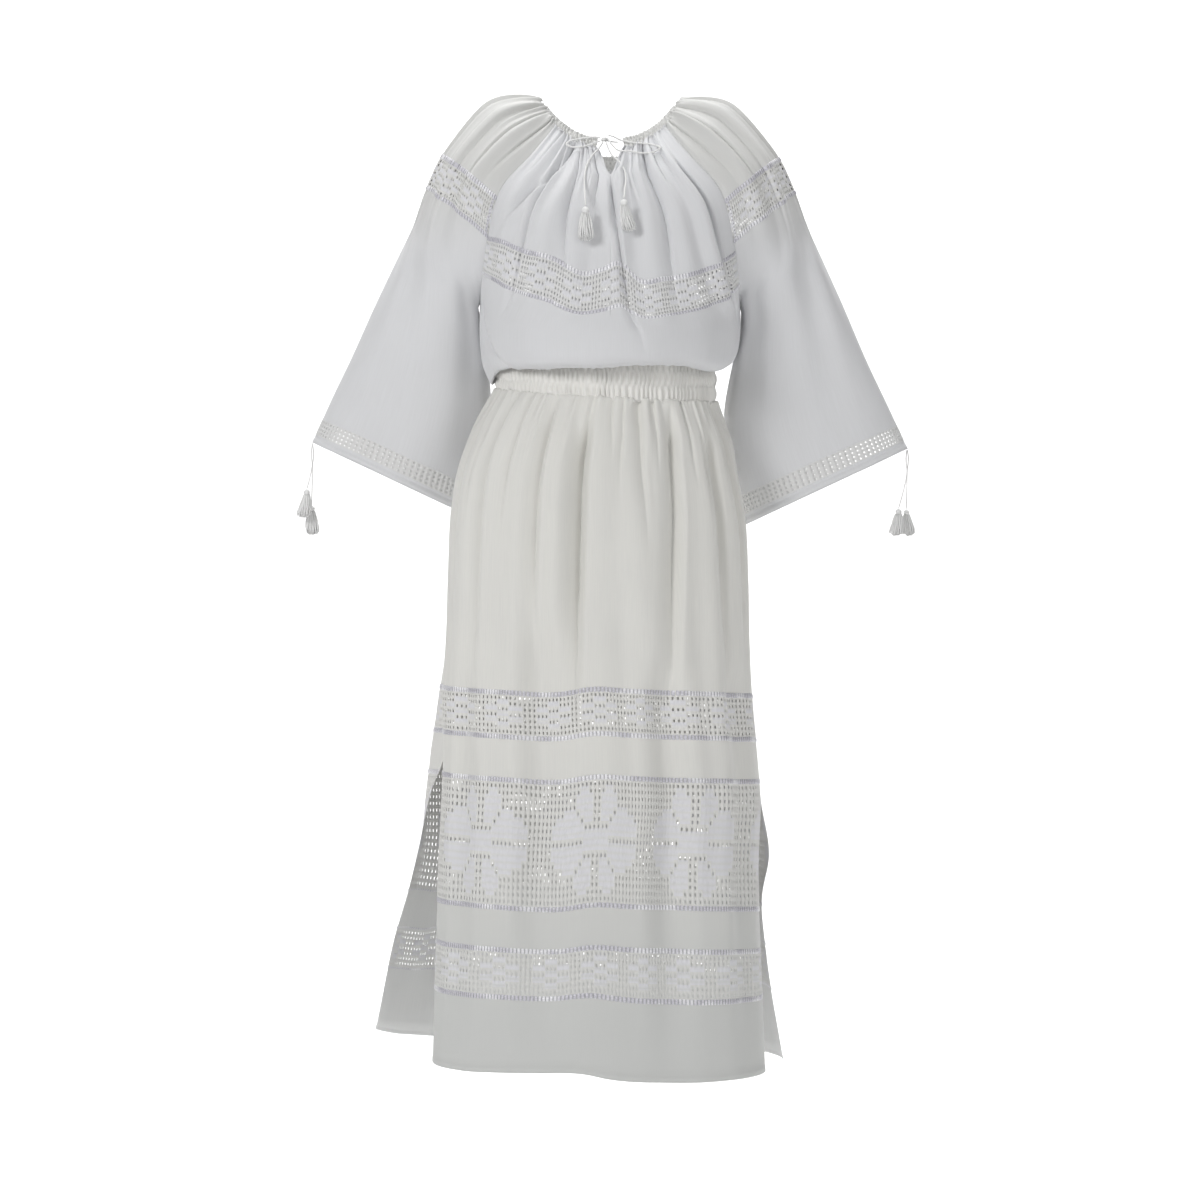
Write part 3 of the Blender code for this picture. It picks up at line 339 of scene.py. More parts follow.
SKIRT_VALLEYS = table("top foot wide high start end", [
    (0.060, 0.050, 0.016, 0.0030, 0.000, 0.120),
    (0.110, 0.100, 0.020, 0.0040, 0.000, 0.260),
    (0.165, 0.150, 0.018, 0.0035, 0.005, 0.160),
    (0.215, 0.200, 0.045, 0.0080, 0.000, 0.400),
    (0.287, 0.270, 0.020, 0.0040, 0.000, 0.200),
    (0.330, 0.325, 0.014, 0.0030, 0.000, 0.090),
    (0.365, 0.356, 0.045, 0.0120, 0.008, 0.340),
    (0.415, 0.410, 0.014, 0.0030, 0.000, 0.080),
    (0.466, 0.448, 0.055, 0.0240, 0.018, 0.460),
    (0.520, 0.530, 0.016, 0.0035, 0.000, 0.080),
    (0.555, 0.545, 0.016, 0.0035, 0.000, 0.130),
    (0.595, 0.605, 0.038, 0.0065, 0.000, 0.200),
    (0.640, 0.640, 0.015, 0.0035, 0.000, 0.100),
    (0.692, 0.652, 0.055, 0.0220, 0.012, 0.430),
    (0.735, 0.740, 0.016, 0.0040, 0.000, 0.120),
    (0.775, 0.780, 0.018, 0.0045, 0.000, 0.180),
    (0.812, 0.822, 0.045, 0.0120, 0.020, 0.400),
    (0.860, 0.870, 0.018, 0.0040, 0.000, 0.160),
    (0.905, 0.915, 0.034, 0.0095, 0.000, 0.350),
    (0.950, 0.955, 0.014, 0.0030, 0.000, 0.110),
    (0.385, 0.390, 0.075, 0.0170, 0.240, 0.900),
    (0.560, 0.570, 0.060, 0.0050, 0.240, 0.620),
    (0.640, 0.650, 0.075, 0.0160, 0.300, 0.900),
    (0.165, 0.170, 0.065, 0.0090, 0.300, 0.880),
    (0.850, 0.860, 0.070, 0.0110, 0.300, 0.880),
])

# Weave. Each sign is one cell between two bundles of threads: o is open, # is filled.
# The rosette's rows run outwards from its middle; the chain's rows are a whole repeat.
ROSETTE = [
    "oooooooooooooo",
    "oo##oooooooooo",
    "o####ooooooooo",
    "o####ooooooooo",
    "o###o###oooooo",
    "o##o######oooo",
    "ooo########ooo",
    "###########ooo",
    "###ooooooooooo",
]
CHAIN = [
    "oooooooooooo",
    "###ooooooooo",
    "ooo###ooo###",
    "###ooooooooo",
]
LADDER = ["o", "o", "o", "o"]

# Share of a cell that its hole takes, across and down, and how far a bundle stands out
HOLE_WIDE = 0.34
HOLE_TALL = 0.48
BACK_HOLE_WIDE = 0.28
BACK_HOLE_TALL = 0.42
BUNDLE_HEIGHT = 0.0004

# Width of a cell on the cloth's map
CELL_PITCH = 0.0049

# Hem: depth, step and the step's width down the cloth
HEM_DEPTH = 0.006
HEM_STEP = 0.0005
HEM_RAMP = 0.0004

# Gathers at a seam: number, height, reach from it, and what is added to the panel's seed
BLOUSE_GATHERS = [(36, 0.0024, 0.034, 0), (15, 0.0050, 0.130, 5)]
BLOUSE_FOOT_GATHERS = [(34, 0.0030, 0.060, 1)]
SLEEVE_GATHERS = [(32, 0.0024, 0.034, 0), (13, 0.0050, 0.130, 5)]
SKIRT_GATHERS = [(50, 0.0028, 0.026, 0), (19, 0.0050, 0.110, 5)]
GATHER_EDGE = 30

# The skirt's gathers start at this share of their height at the band
TOP_SHARE = 0.45
TOP_EASE = 0.012

# Satin lines and cuff stitches: width, height over the cloth, and pitch of the stitches; and the
# width of a line down a sleeve's seam, as a share of the sleeve's round, and its way in from there
SATIN = (0.0068, 0.0012, 0.0038)
CUFF_STITCH = (0.0018, 0.0005, 0.0030)
EDGE_WIDE = 0.012
EDGE_IN = 0.014

# A line's section: ways across it in half widths, and shares of its height; its height between
# two stitches; and how many rings of points each stitch has
LINE_ACROSS = np.array([-1.0, -0.72, 0.0, 0.72, 1.0, 0.0])
LINE_PROFILE = np.array([0.0, 0.80, 1.0, 0.80, 0.0, -0.35])
LINE_DIP = 0.12
LINE_RINGS = 3


def hem_strips(length, detail):
    """The last strips of a panel with a hem: down to the hem's step, the step, and the hem."""
    return [("plain", length - HEM_DEPTH - HEM_RAMP, detail),
            ("plain", length - HEM_DEPTH, HEM_RAMP), ("plain", length, 0.0030)]


# Bands down each panel: kind of strip, where it ends in metres, and row height or chart
SKIRT_STRIPS = [
    ("plain", 0.120, 0.0060), ("plain", 0.3475, 0.0140),
    ("line", 0.3535, 0.0030), ("open", 0.3990, CHAIN), ("line", 0.4050, 0.0030),
    ("plain", 0.4490, 0.0110),
    ("line", 0.4550, 0.0030), ("open", 0.5970, ROSETTE), ("line", 0.6030, 0.0030),
    ("plain", 0.6455, 0.0110),
    ("line", 0.6515, 0.0030), ("open", 0.6995, CHAIN), ("line", 0.7055, 0.0030),
] + hem_strips(SKIRT_LENGTH, 0.0110)
BLOUSE_STRIPS = [
    ("plain", KEYHOLE_DEPTH, 0.0024), ("plain", 0.1600, 0.0060),
    ("line", 0.1660, 0.0030), ("open", 0.2110, CHAIN), ("line", 0.2170, 0.0030),
    ("plain", 0.3380, 0.0070), ("plain", BLOUSE_LENGTH, 0.0040),
]
LEFT_SLEEVE_STRIPS = [
    ("plain", 0.060, 0.0040), ("plain", 0.1170, 0.0060),
    ("line", 0.1230, 0.0030), ("open", 0.1620, CHAIN), ("line", 0.1680, 0.0030),
    ("plain", 0.4860, 0.0120),
    ("line", 0.4880, 0.0020), ("open", 0.5090, LADDER), ("line", 0.5110, 0.0020),
] + hem_strips(SLEEVE_LENGTH, 0.0040)
RIGHT_SLEEVE_STRIPS = [
    ("plain", 0.060, 0.0040), ("plain", 0.1210, 0.0060),
    ("line", 0.1270, 0.0030), ("open", 0.1690, CHAIN), ("line", 0.1750, 0.0030),
] + LEFT_SLEEVE_STRIPS[5:]

# Where the cloth's cells lie across a panel: folds take up more of them
SKIRT_CELLS = table("cell u", [(0, 0.0), (17, 0.233), (45, 0.490), (73, 0.697), (98, 1.0)])
SKIRT_BACK_CELLS = table("cell u", [(0, 0.0), (52, 0.5), (104, 1.0)])
BLOUSE_CELLS = table("cell u", [(0, 0.0), (24, 0.27), (48, 0.5), (74, 0.72), (96, 1.0)])
SLEEVE_CELLS = table("cell u", [(0, 0.0), (44, 0.5), (88, 1.0)])

# How far the cloth has slipped down at places across a panel
NO_SLIP = table("u slip", [(0, 0), (1, 0)])
BLOUSE_SLIP = table("u slip", [
    (0.00, 0.004), (0.10, -0.004), (0.21, -0.003), (0.32, -0.002), (0.42, 0.011), (0.48, 0.004),
    (0.53, -0.002), (0.59, 0.020), (0.66, 0.021), (0.75, 0.022), (0.85, 0.022), (1.00, 0.024),
])
SKIRT_SLIP = table("u slip", [
    (0.00, 0.000), (0.29, 0.001), (0.42, 0.002), (0.49, -0.004), (0.56, -0.002), (0.70, 0.000),
    (1.00, 0.000),
])
SLIP_EASE = 0.11

# Small steps used to read a surface's slopes
SLOPE_U = 0.0015
SLOPE_V = 0.0010

# Ties and tassels, metres
TIE_RADIUS = 0.0012
CUFF_TIE_RADIUS = 0.0008
CUFF_TIE_APART = 0.0014

# Stretch between the casing's ends with its knot: place and thickness
KNOT = table("x y z radius", [
    (-0.0045, -0.0790, -0.0500, 0.0011),
    (-0.0028, -0.0800, -0.0485, 0.0026),
    (-0.0008, -0.0805, -0.0480, 0.0034),
    (0.0012, -0.0800, -0.0485, 0.0026),
    (0.0045, -0.0790, -0.0500, 0.0012),
    (0.0100, -0.0785, -0.0510, 0.0011),
    (0.0162, -0.0785, -0.0512, 0.0011),
])
TIE_ROUTES = {
    "tie_loop_left": [
        (-0.0050, -0.0830, -0.0468), (-0.0120, -0.0800, -0.0455), (-0.0220, -0.0768, -0.0460),
        (-0.0330, -0.0778, -0.0480), (-0.0420, -0.0832, -0.0510), (-0.0455, -0.0868, -0.0545),
        (-0.0420, -0.0895, -0.0575), (-0.0330, -0.0910, -0.0590), (-0.0220, -0.0882, -0.0570),
        (-0.0120, -0.0875, -0.0530), (-0.0058, -0.0860, -0.0508),
    ],
    "tie_loop_right": [
        (0.0030, -0.0838, -0.0472), (0.0080, -0.0910, -0.0560), (0.0150, -0.0950, -0.0630),
        (0.0288, -0.0985, -0.0645), (0.0433, -0.0996, -0.0670), (0.0586, -0.0960, -0.0646),
        (0.0645, -0.0940, -0.0603), (0.0557, -0.0880, -0.0556), (0.0410, -0.0844, -0.0535),
        (0.0304, -0.0820, -0.0520), (0.0175, -0.0815, -0.0490), (0.0090, -0.0825, -0.0450),
        (0.0034, -0.0830, -0.0438),
    ],
    "tie_end_left": [
        (-0.0022, -0.0826, -0.0512), (-0.0080, -0.0910, -0.0610), (-0.0150, -0.1022, -0.0700),
        (-0.0210, -0.1105, -0.0820), (-0.0240, -0.1235, -0.0980), (-0.0238, -0.1370, -0.1150),
        (-0.0232, -0.1460, -0.1250), (-0.0228, -0.1528, -0.1348),
    ],
    "tie_end_right": [
        (0.0006, -0.0826, -0.0512), (0.0080, -0.0978, -0.0690), (0.0170, -0.1095, -0.0790),
        (0.0225, -0.1165, -0.0890), (0.0240, -0.1265, -0.1010), (0.0228, -0.1385, -0.1130),
        (0.0217, -0.1522, -0.1264),
    ],
}

# Tassels: top of the head, length, flare at the foot across and in depth, lean to the right
TASSELS = {
    "tassel_neck_left": ((-0.0228, -0.1535, -0.1356), 0.041, 0.0095, 0.0050, 0.001),
    "tassel_neck_right": ((0.0217, -0.1530, -0.1272), 0.038, 0.0090, 0.0050, 0.006),
    "tassel_cuff_left_a": ((-0.3645, 0.0760, -0.4545), 0.036, 0.0085, 0.0060, -0.004),
    "tassel_cuff_left_b": ((-0.3600, 0.0920, -0.4740), 0.037, 0.0090, 0.0060, 0.001),
    "tassel_cuff_right_a": ((0.3590, 0.0760, -0.4785), 0.034, 0.0085, 0.0060, -0.003),
    "tassel_cuff_right_b": ((0.3700, 0.0900, -0.4790), 0.033, 0.0080, 0.0060, 0.003),
}

# Head's length and width as shares of the tassel's, their profiles, and the yarn
TASSEL_HEAD = 0.24
TASSEL_NECK = 0.45
HEAD_SHAPE = table("down share", [
    (0.0, 0.30), (0.12, 0.62), (0.36, 0.98), (0.70, 0.84), (0.86, 0.68), (1.0, 0.95),
])
TASSEL_SHAPE = table("down share", [
    (0.0, 0.15), (0.25, 0.52), (0.5, 0.80), (0.8, 1.00), (1.0, 0.96),
])
HEAD_RIDGES = 16
STRANDS = 40
STRAND_START = 0.72
STRAND_RADIUS = 0.0012
STRAND_THICK = np.array([0.6, 0.8, 1.0, 1.08, 1.1, 1.08, 1.0, 0.75])
STRAND_WAVE = 0.0005
GOLDEN_ANGLE = 2.399963

# Gap between a cuff tie and its tassel, where the pair of ties parts, and the turn of a cord
SEAM_GAP = 0.0003
CUFF_TIE_PARTING = 0.026
CUFF_TIE_BEND = 1.3
CORD_TURN = math.pi / 0.0032

# Paper under and behind the dress: level, start and depth of its flat part, radius of the bend,
# rise behind it, half width, and the shares of its rows that end the flat part and the bend
FLOOR_LEVEL = -1.45
FLOOR_START = -7.0
FLOOR_DEEP = 12.0
FLOOR_BEND = 1.2
FLOOR_RISE = 5.0
FLOOR_HALF = 7.0
FLOOR_PARTS = (0.4, 0.7)
FLOOR_ROWS = 41

# Light: place, aim, size in metres and power in watts
SKY_STRENGTH = 0.24
LIGHTS = [
    ("key light", (-1.5, -2.1, 0.6), (0.0, 0.0, -0.45), 0.8, 28),
    ("fill light", (1.9, -2.8, 0.2), (0.0, 0.0, -0.5), 1.4, 20),
    ("floor light", (0.0, 1.0, 2.6), (0.0, 2.6, -0.6), 3.0, 112),
    ("paper light", (0.0, 3.6, 3.4), (0.0, 6.0, -0.6), 3.4, 230),
    ("light through the cloth", (0.0, -0.02, -0.12), (0.0, 0.1, -0.09), 0.06, 0.06),
]

# Colours, linear light
COOL_WHITE = (0.715, 0.72, 0.735, 1)
WARM_WHITE = (0.672, 0.672, 0.655, 1)
CREAM_WHITE = (0.775, 0.768, 0.730, 1)
# Darker grey for the skirt's lower part: painted shade where the light falls off towards the hem
FOOT_PAINTED_SHADE = (0.620, 0.628, 0.612, 1)
# Lighter colour for the back skirt's lower part than the front's: painted light where the back lies
# in shadow
BACK_FOOT_PAINTED_LIGHT = (0.750, 0.755, 0.745, 1)
# Lighter cream for the waistband: partly the band's own cream tone, partly painted light against
# the shade under the blouse and between the puffs
WAIST_PAINTED_LIGHT = (0.870, 0.860, 0.825, 1)
THREAD_SHADE = (0.58, 0.58, 0.585, 1)
SOFT_SHADE = (0.62, 0.62, 0.62, 1)
BAND_WHITE = (0.74, 0.735, 0.715, 1)
LILAC_WHITE = (0.735, 0.735, 0.765, 1)
# Satin thread: the dark lilac-grey is painted shade in the furrows between stitches, and the glint
# colour a painted highlight
LILAC_FURROW_SHADE = (0.24, 0.23, 0.27, 1)
LILAC_PALE = (0.58, 0.57, 0.63, 1)
SILVER_GLINT = (0.93, 0.93, 0.95, 1)
# Cord and yarn: each furrow colour is painted shade between the twisted strands
THREAD_WHITE = (0.90, 0.90, 0.89, 1)
THREAD_FURROW_SHADE = (0.70, 0.70, 0.69, 1)
YARN_WHITE = (0.97, 0.97, 0.965, 1)
YARN_FURROW_SHADE = (0.90, 0.90, 0.89, 1)
PAPER_WHITE = (0.93, 0.93, 0.93, 1)
PAPER_SHADE = (0.90, 0.90, 0.90, 1)

# Turns a metre of the weave's threads, the filled cells' ribs, and the cord's and yarn's strands
THREAD_TURN = 2 * math.pi / 0.0009
RIB_TURN = math.pi / 0.0083
CORD_STRAND_TURN = 2 * math.pi / 0.0016
YARN_STRAND_TURN = 2 * math.pi / 0.0012


def smooth(at, knots, values):
    """Cubic curve through a column of knots, with each knot's slope taken from its neighbours."""
    slopes = np.gradient(values, knots)
    i = np.clip(np.searchsorted(knots, at, side="right") - 1, 0, len(knots) - 2)
    span = knots[i + 1] - knots[i]
    t = (at - knots[i]) / span
    rise = values[i + 1] - values[i]
    bend = span * slopes[i] * (t - 2 * t**2 + t**3) + span * slopes[i + 1] * (t**3 - t**2)
    return values[i] + rise * (3 * t**2 - 2 * t**3) + bend


def column(name, rows, v):
    """One column of a table, read smoothly at v."""
    return smooth(np.clip(v, rows["v"][0], rows["v"][-1]), rows["v"], rows[name])


def ease(t):
    """Soft step from 0 to 1."""
    t = np.clip(t, 0, 1)
    return t * t * (3 - 2 * t)


def unit(vectors):
    """Vectors of length one."""
    return vectors / np.maximum(np.linalg.norm(vectors, axis=-1, keepdims=True), 1e-12)


def chance_of(number, seed):
    """Even share from 0 to 1 for a number: the fraction of a large multiple of its sine."""
    return np.modf(np.abs(np.sin(number * 12.9898 + seed)) * 43758.5453)[0]


def stack_wide(*arrays):
    """Arrays spread to one shape and stacked as coordinates."""
    return np.stack(np.broadcast_arrays(*arrays), axis=-1)


def along_line(points):
    """Distance of each point of a line from its first one."""
    return np.concatenate([[0], np.cumsum(np.linalg.norm(np.diff(points, axis=0), axis=1))])


def neck_ring(turn, ring):
    """The neck's saddle-shaped oval: turn is 0 at the front and grows to the wearer's left."""
    ahead = np.cos(turn) > 0
    y = -np.cos(turn) * np.where(ahead, ring["front"], ring["back"])
    low = np.where(ahead, ring["low"], ring["rear"])
    z = low + (ring["side"] - low) * np.abs(np.sin(turn)) ** NECK_RISE
    return np.stack([CENTRE_X + ring["half"] * np.sin(turn), y, z], axis=-1)


def blend(start, rest, v):
    """Leave the neck's ring and settle into the panel's own rows."""
    share = ease(v / RING_EASE)[..., None]
    return start * (1 - share) + rest * share


def waist_ring(turn, ring, outward=0.0):
    """The waist's oval at the top or the foot of the band, or a little way outside it."""
    y = -np.cos(turn) * (np.where(np.cos(turn) > 0, ring["front"], ring["back"]) + outward)
    z = ring["z"] - ring["tilt"] * np.sin(turn) - ring["dip"] * np.maximum(np.cos(turn), 0)
    return np.stack([WAIST_CENTRE_X + (ring["half"] + outward) * np.sin(turn), y, z], axis=-1)


def seam_point(v, face):
    """The seam between sleeve and body: face is -1 at the front and 1 at the back."""
    start = np.radians(column("start", SLEEVE, v))
    deep = column("deep", SLEEVE, v) * np.sin(start) * (1 if face < 0 else BACK_SHARE)
    return column("out", RAGLAN, v), face * deep, column("z", RAGLAN, v)


def sleeve_surface(u, v, side):
    """Sleeve: each row leaves the front seam, turns round the outer edge and ends at the back.

    Above the arm a row is an open arc between the two seams; below it the row is a closed oval
    from the inner edge to the outer one. side is -1 for the left sleeve and 1 for the right.
    """
    face = np.where(u < 0.5, -1.0, 1.0)
    across = 1 - np.abs(2 * u - 1)
    start = np.radians(np.maximum(column("start", SLEEVE, v), 0))
    angle = start + (math.pi - start) * across
    along = (np.cos(start) - np.cos(angle)) / (np.cos(start) + 1)
    below = v >= ARM
    inner = column("left" if side < 0 else "right", INNER, v)
    edge_out = np.where(below, inner, column("out", RAGLAN, v))
    edge_z = np.where(below, column("z", INNER, v), column("z", RAGLAN, v))
    edge_y = np.where(below, column("y", INNER, v), 0.0)
    out = edge_out + (column("out", SLEEVE, v) - edge_out) * along
    z = edge_z + (column("z", SLEEVE, v) - edge_z) * along
    open_share = np.where(below, 1.0, BACK_SHARE + (1 - BACK_SHARE) * ease(across))
    deep = column("deep", SLEEVE, v) * np.where(face < 0, 1.0, open_share)
    y = edge_y + (column("y", SLEEVE, v) - edge_y) * along + face * deep * np.sin(angle)
    if side > 0:
        z = z - RIGHT_CUFF_DROP * ease((v - ARM) / (SLEEVE_LENGTH - ARM))
    rows = np.stack([CENTRE_X + side * out, y, z], axis=-1)
    turn = side * (FRONT_TURN + (math.pi - 2 * FRONT_TURN) * u)
    return blend(neck_ring(turn, NECK_FOOT), rows, v)


def drape(u, left, right, middle, turn_left, turn_right):
    """Rows of a body panel: each runs from its left edge round the middle to its right edge.

    The row is part of an oval. Past a turn of a right angle it bulges beyond its own edge.
    """
    on_left = u < 0.5
    turn = np.radians(np.where(on_left, turn_left, turn_right))
    angle = (2 * u - 1) * turn
    edge = [np.where(on_left, a, b) for a, b in zip(left, right)]
    across = np.abs(np.sin(angle)) / np.sin(turn)
    inward = (np.cos(angle) - np.cos(turn)) / (1 - np.cos(turn))
    x = middle[0] + (edge[0] - middle[0]) * across
    y = edge[1] + (middle[1] - edge[1]) * inward
    z = edge[2] + (middle[2] - edge[2]) * inward
    return np.stack([x, y, z], axis=-1)


def blouse_surface(u, v, rows, face, half=0):
    """Front or back of the bodice: neck ring, raglan seams, side seams and the bloused foot.

    half is -1 or 1 on the two halves of the front, which the keyhole parts, and 0 on the back.
    """
    out, deep, height = seam_point(v, face)
    below = v > ARM
    y = np.where(below, 0.0, deep)
    left_out = np.where(below, column("left", SIDE, v), out)
    right_out = np.where(below, column("right", SIDE, v), out)
    left = (CENTRE_X - left_out, y, np.where(below, column("left_z", SIDE, v), height))
    right = (CENTRE_X + right_out, y, np.where(below, column("right_z", SIDE, v), height))
    middle = (CENTRE_X, column("y", rows, v), column("z", rows, v))
    turn = column("turn", rows, v)
    points = drape(u, left, right, middle, turn, turn)
    low = SIDE_SAG * (1 - ease(u / SIDE_SAG_WIDE))
    if face < 0:
        low = low + smooth(u, FRONT_SAG["u"], FRONT_SAG["low"])
    points[..., 2] -= low * ease((v - SAG_START) / SAG_EASE)
    way = 2 * u - 1
    parted = np.clip(1 - v / KEYHOLE_DEPTH, 0, 1) ** KEYHOLE_ROUND
    points[..., 0] += half * KEYHOLE_HALF * parted * (1 - np.abs(way)) ** 2
    least = KEYHOLE_TURN * parted
    if face < 0:
        neck_turn = half * (least + (FRONT_TURN - least) * np.abs(way))
        waist_turn = way * math.pi / 2
    else:
        neck_turn = math.pi - FRONT_TURN * way
        waist_turn = math.pi - way * math.pi / 2
    points = blend(neck_ring(neck_turn, NECK_FOOT), points, v)
    foot = waist_ring(waist_turn, WAIST_TOP, BLOUSE_LENGTH - v)
    foot[..., 2] += BLOUSE_REST
    share = ease((v - BLOUSE_LENGTH + BLOUSE_TURN_IN) / BLOUSE_TURN_EASE)[..., None]
    return points * (1 - share) + foot * share


def skirt_surface(u, v, rows, face):
    """Front or back of the skirt, from its table of edges and depths."""
    left_x, right_x = column("left", rows, v), column("right", rows, v)
    z = column("z", SKIRT_FRONT, v)
    lift = column("lift", rows, v)
    left = (left_x, column("left_y", rows, v), z + lift)
    right = (right_x, column("right_y", rows, v), z - column("drop", rows, v))
    middle = ((left_x + right_x) / 2, column("middle_y", rows, v), z)
    turns = (column("turn_left", rows, v), column("turn_right", rows, v))
    points = drape(u, left, right, middle, *turns)
    if face < 0:
        low = ease((v - HEM_DIP_START) / (SKIRT_LENGTH - HEM_DIP_START))
        points[..., 2] -= smooth(u, HEM_DIP["u"], HEM_DIP["low"]) * low
    turn = (2 * u - 1) * math.pi / 2
    ring = waist_ring(turn if face < 0 else math.pi - turn, WAIST_FOOT)
    share = ease(v / SKIRT_EASE)[..., None]
    return ring * (1 - share) + points * share


def fold_heights(u, v, folds):
    """Sum of long soft ridges, each from its own row of the table, fading at both ends."""
    total = np.zeros_like(u)
    for top, foot, wide, high, start, end in zip(*folds.values()):
        down = np.clip((v - start) / (end - start), 0, 1)
        middle = top + (foot - top) * down
        away = np.clip(np.abs(u - middle) / wide, 0, 1)
        ridge = np.cos(away * math.pi / 2) ** 2
        total += high * ridge * ease(down * FOLD_RISE) * ease((1 - down) * FOLD_FALL)
    return total * ease(u * FOLD_EDGE) * ease((1 - u) * FOLD_EDGE)


def valleys(u, v, places):
    """Valleys between folds: each sinks as a power of the share left to its edges.

    A narrow one is gentle on its left and steep on its right, where the next fold leans over it.
    """
    total = np.zeros_like(u)
    for top, foot, wide, high, start, end in zip(*places.values()):
        down = np.clip((v - start) / (end - start), 0, 1)
        beside = (u - top - (foot - top) * down) / wide
        broad = wide > VALLEY_BROAD
        steep = 1.0 if broad else VALLEY_STEEP
        away = np.clip(np.where(beside < 0, -beside, beside / steep), 0, 1)
        shape = np.cos(away * math.pi / 2) ** 2 if broad else (1 - away) ** VALLEY_SHARP
        total -= high * shape * ease(down * VALLEY_RISE) * ease((1 - down) * VALLEY_FALL)
    return total * ease(u * VALLEY_EDGE) * ease((1 - u) * VALLEY_EDGE)


def gathers(u, v, rows, seed):
    """Small gathers held by a shirred seam, the sum of one or more rows of them.

    Each gather is a squared sine across its own share of u. Its height and the depth at which it
    fades vary with its number.
    """
    total = 0.0
    for count, high, reach, more in rows:
        at = u * count + 0.35 * np.sin(u * 37 + seed + more)
        number = np.floor(at)
        chance = chance_of(number, seed + more)
        ridge = np.sin((at - number) * math.pi) ** 2
        fade = 1 - ease(v / (reach * (0.3 + 0.7 * chance)))
        total = total + high * (0.55 + 0.45 * chance) * ridge * fade
    return total


def ripple(u, v, seed):
    """Gentle unevenness of hand-woven cloth: the sum of three slow waves."""
    slow = 0.0006 * np.sin(u * 23 + v * 9 + seed) + 0.0005 * np.sin(u * 41 - v * 17 + 2 * seed)
    return slow + 0.0003 * np.sin(u * 13 + v * 31 + 3 * seed)


def cloth_heights(u, v, folds, places, small, mirrored=False):
    """Heights of a panel: folds, valleys, which may be mirrored, and gathers, gone at its seams."""
    window = ease(u * GATHER_EDGE) * ease((1 - u) * GATHER_EDGE)
    sunk = valleys(1 - u if mirrored else u, v, places)
    return fold_heights(u, v, folds) + sunk + small * window


def hem_step(v, end):
    """The turned-up hem's extra thickness near a free lower edge."""
    return HEM_STEP * ease((v - end + HEM_DEPTH + HEM_RAMP) / HEM_RAMP)


def blouse_heights(u, v, folds, places, seed, wave):
    """Heights of a bodice panel, with gathers at both its ends."""
    small = (gathers(u, v, BLOUSE_GATHERS, seed) + ripple(u, v, wave)
             + gathers(u, BLOUSE_LENGTH - v, BLOUSE_FOOT_GATHERS, seed))
    return cloth_heights(u, v, folds, places, small)


def sleeve_heights(u, v, seed):
    """Heights of a sleeve, with gathers at the neck and a hem."""
    small = gathers(u, v, SLEEVE_GATHERS, seed) + ripple(u, v, seed)
    return (cloth_heights(u, v, SLEEVE_FOLDS, SLEEVE_VALLEYS, small)
            + hem_step(v, SLEEVE_LENGTH))


def skirt_heights(u, v, folds, seed, mirrored):
    """Heights of a skirt panel, with gathers that grow from the band, and a hem."""
    small = gathers(u, v, SKIRT_GATHERS, seed) + ripple(u, v, seed)
    small = small * (TOP_SHARE + (1 - TOP_SHARE) * ease(v / TOP_EASE))
    return (cloth_heights(u, v, folds, SKIRT_VALLEYS, small, mirrored)
            + hem_step(v, SKIRT_LENGTH))


def slipped(u, v, slip, length):
    """v with the cloth's slip added, dying away towards both ends of the panel."""
    window = ease(v / SLIP_EASE) * ease((length - v) / SLIP_EASE)
    return v + smooth(u, slip["u"], slip["slip"]) * window


class Panel:
    """A cloth panel: its surface, the heights raised on it, and the side its outer face is on."""

    def __init__(self, surface, heights, length, slip, turned=False, span=(0.0, 1.0)):
        self.surface = surface
        self.heights = heights
        self.length = length
        self.slip = slip
        self.turned = turned
        self.span = span

    def out(self, u, v):
        """Outward direction: the cross product of the slopes down and across."""
        across = (self.surface(np.minimum(u + SLOPE_U, self.span[1]), v)
                  - self.surface(np.maximum(u - SLOPE_U, self.span[0]), v))
        down = (self.surface(u, np.minimum(v + SLOPE_V, self.length))
                - self.surface(u, np.maximum(v - SLOPE_V, 0)))
        return unit(np.cross(down, across)) * (-1 if self.turned else 1)

    def place(self, u, v, lift=0.0):
        """Point of the finished cloth: the surface, plus its heights and a lift outwards."""
        u, v = np.broadcast_arrays(u, v)
        v = slipped(u, v, self.slip, self.length)
        return self.surface(u, v) + self.out(u, v) * (self.heights(u, v) + lift)[..., None]


def new_piece(name, points, faces, material, uv, weave=None, replaced=()):
    """Mesh object from arrays of points and four-sided faces, riding on the part's one body."""
    mesh = bpy.data.meshes.new(name)
    mesh.vertices.add(len(points))
    mesh.vertices.foreach_set("co", np.asarray(points, np.float32).ravel())
    mesh.loops.add(faces.size)
    mesh.loops.foreach_set("vertex_index", faces.astype(np.int32).ravel())
    mesh.polygons.add(len(faces))
    mesh.polygons.foreach_set("loop_start", np.arange(0, faces.size, 4, dtype=np.int32))
    layer = mesh.uv_layers.new(name="cloth")
    layer.data.foreach_set("uv", np.asarray(uv, np.float32)[faces.ravel()].ravel())
    if weave is not None:
        values = mesh.attributes.new("weave", "FLOAT", "FACE")
        values.data.foreach_set("value", weave.astype(np.float32))
    mesh.update(calc_edges=True)
    mesh.validate()
    mesh.shade_smooth()
    mesh.materials.append(material)
    thing = bpy.data.objects.new(name, mesh)
    bpy.context.scene.collection.objects.link(thing)
    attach(thing, "root")
    if replaced:
        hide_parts(*replaced)
    return thing


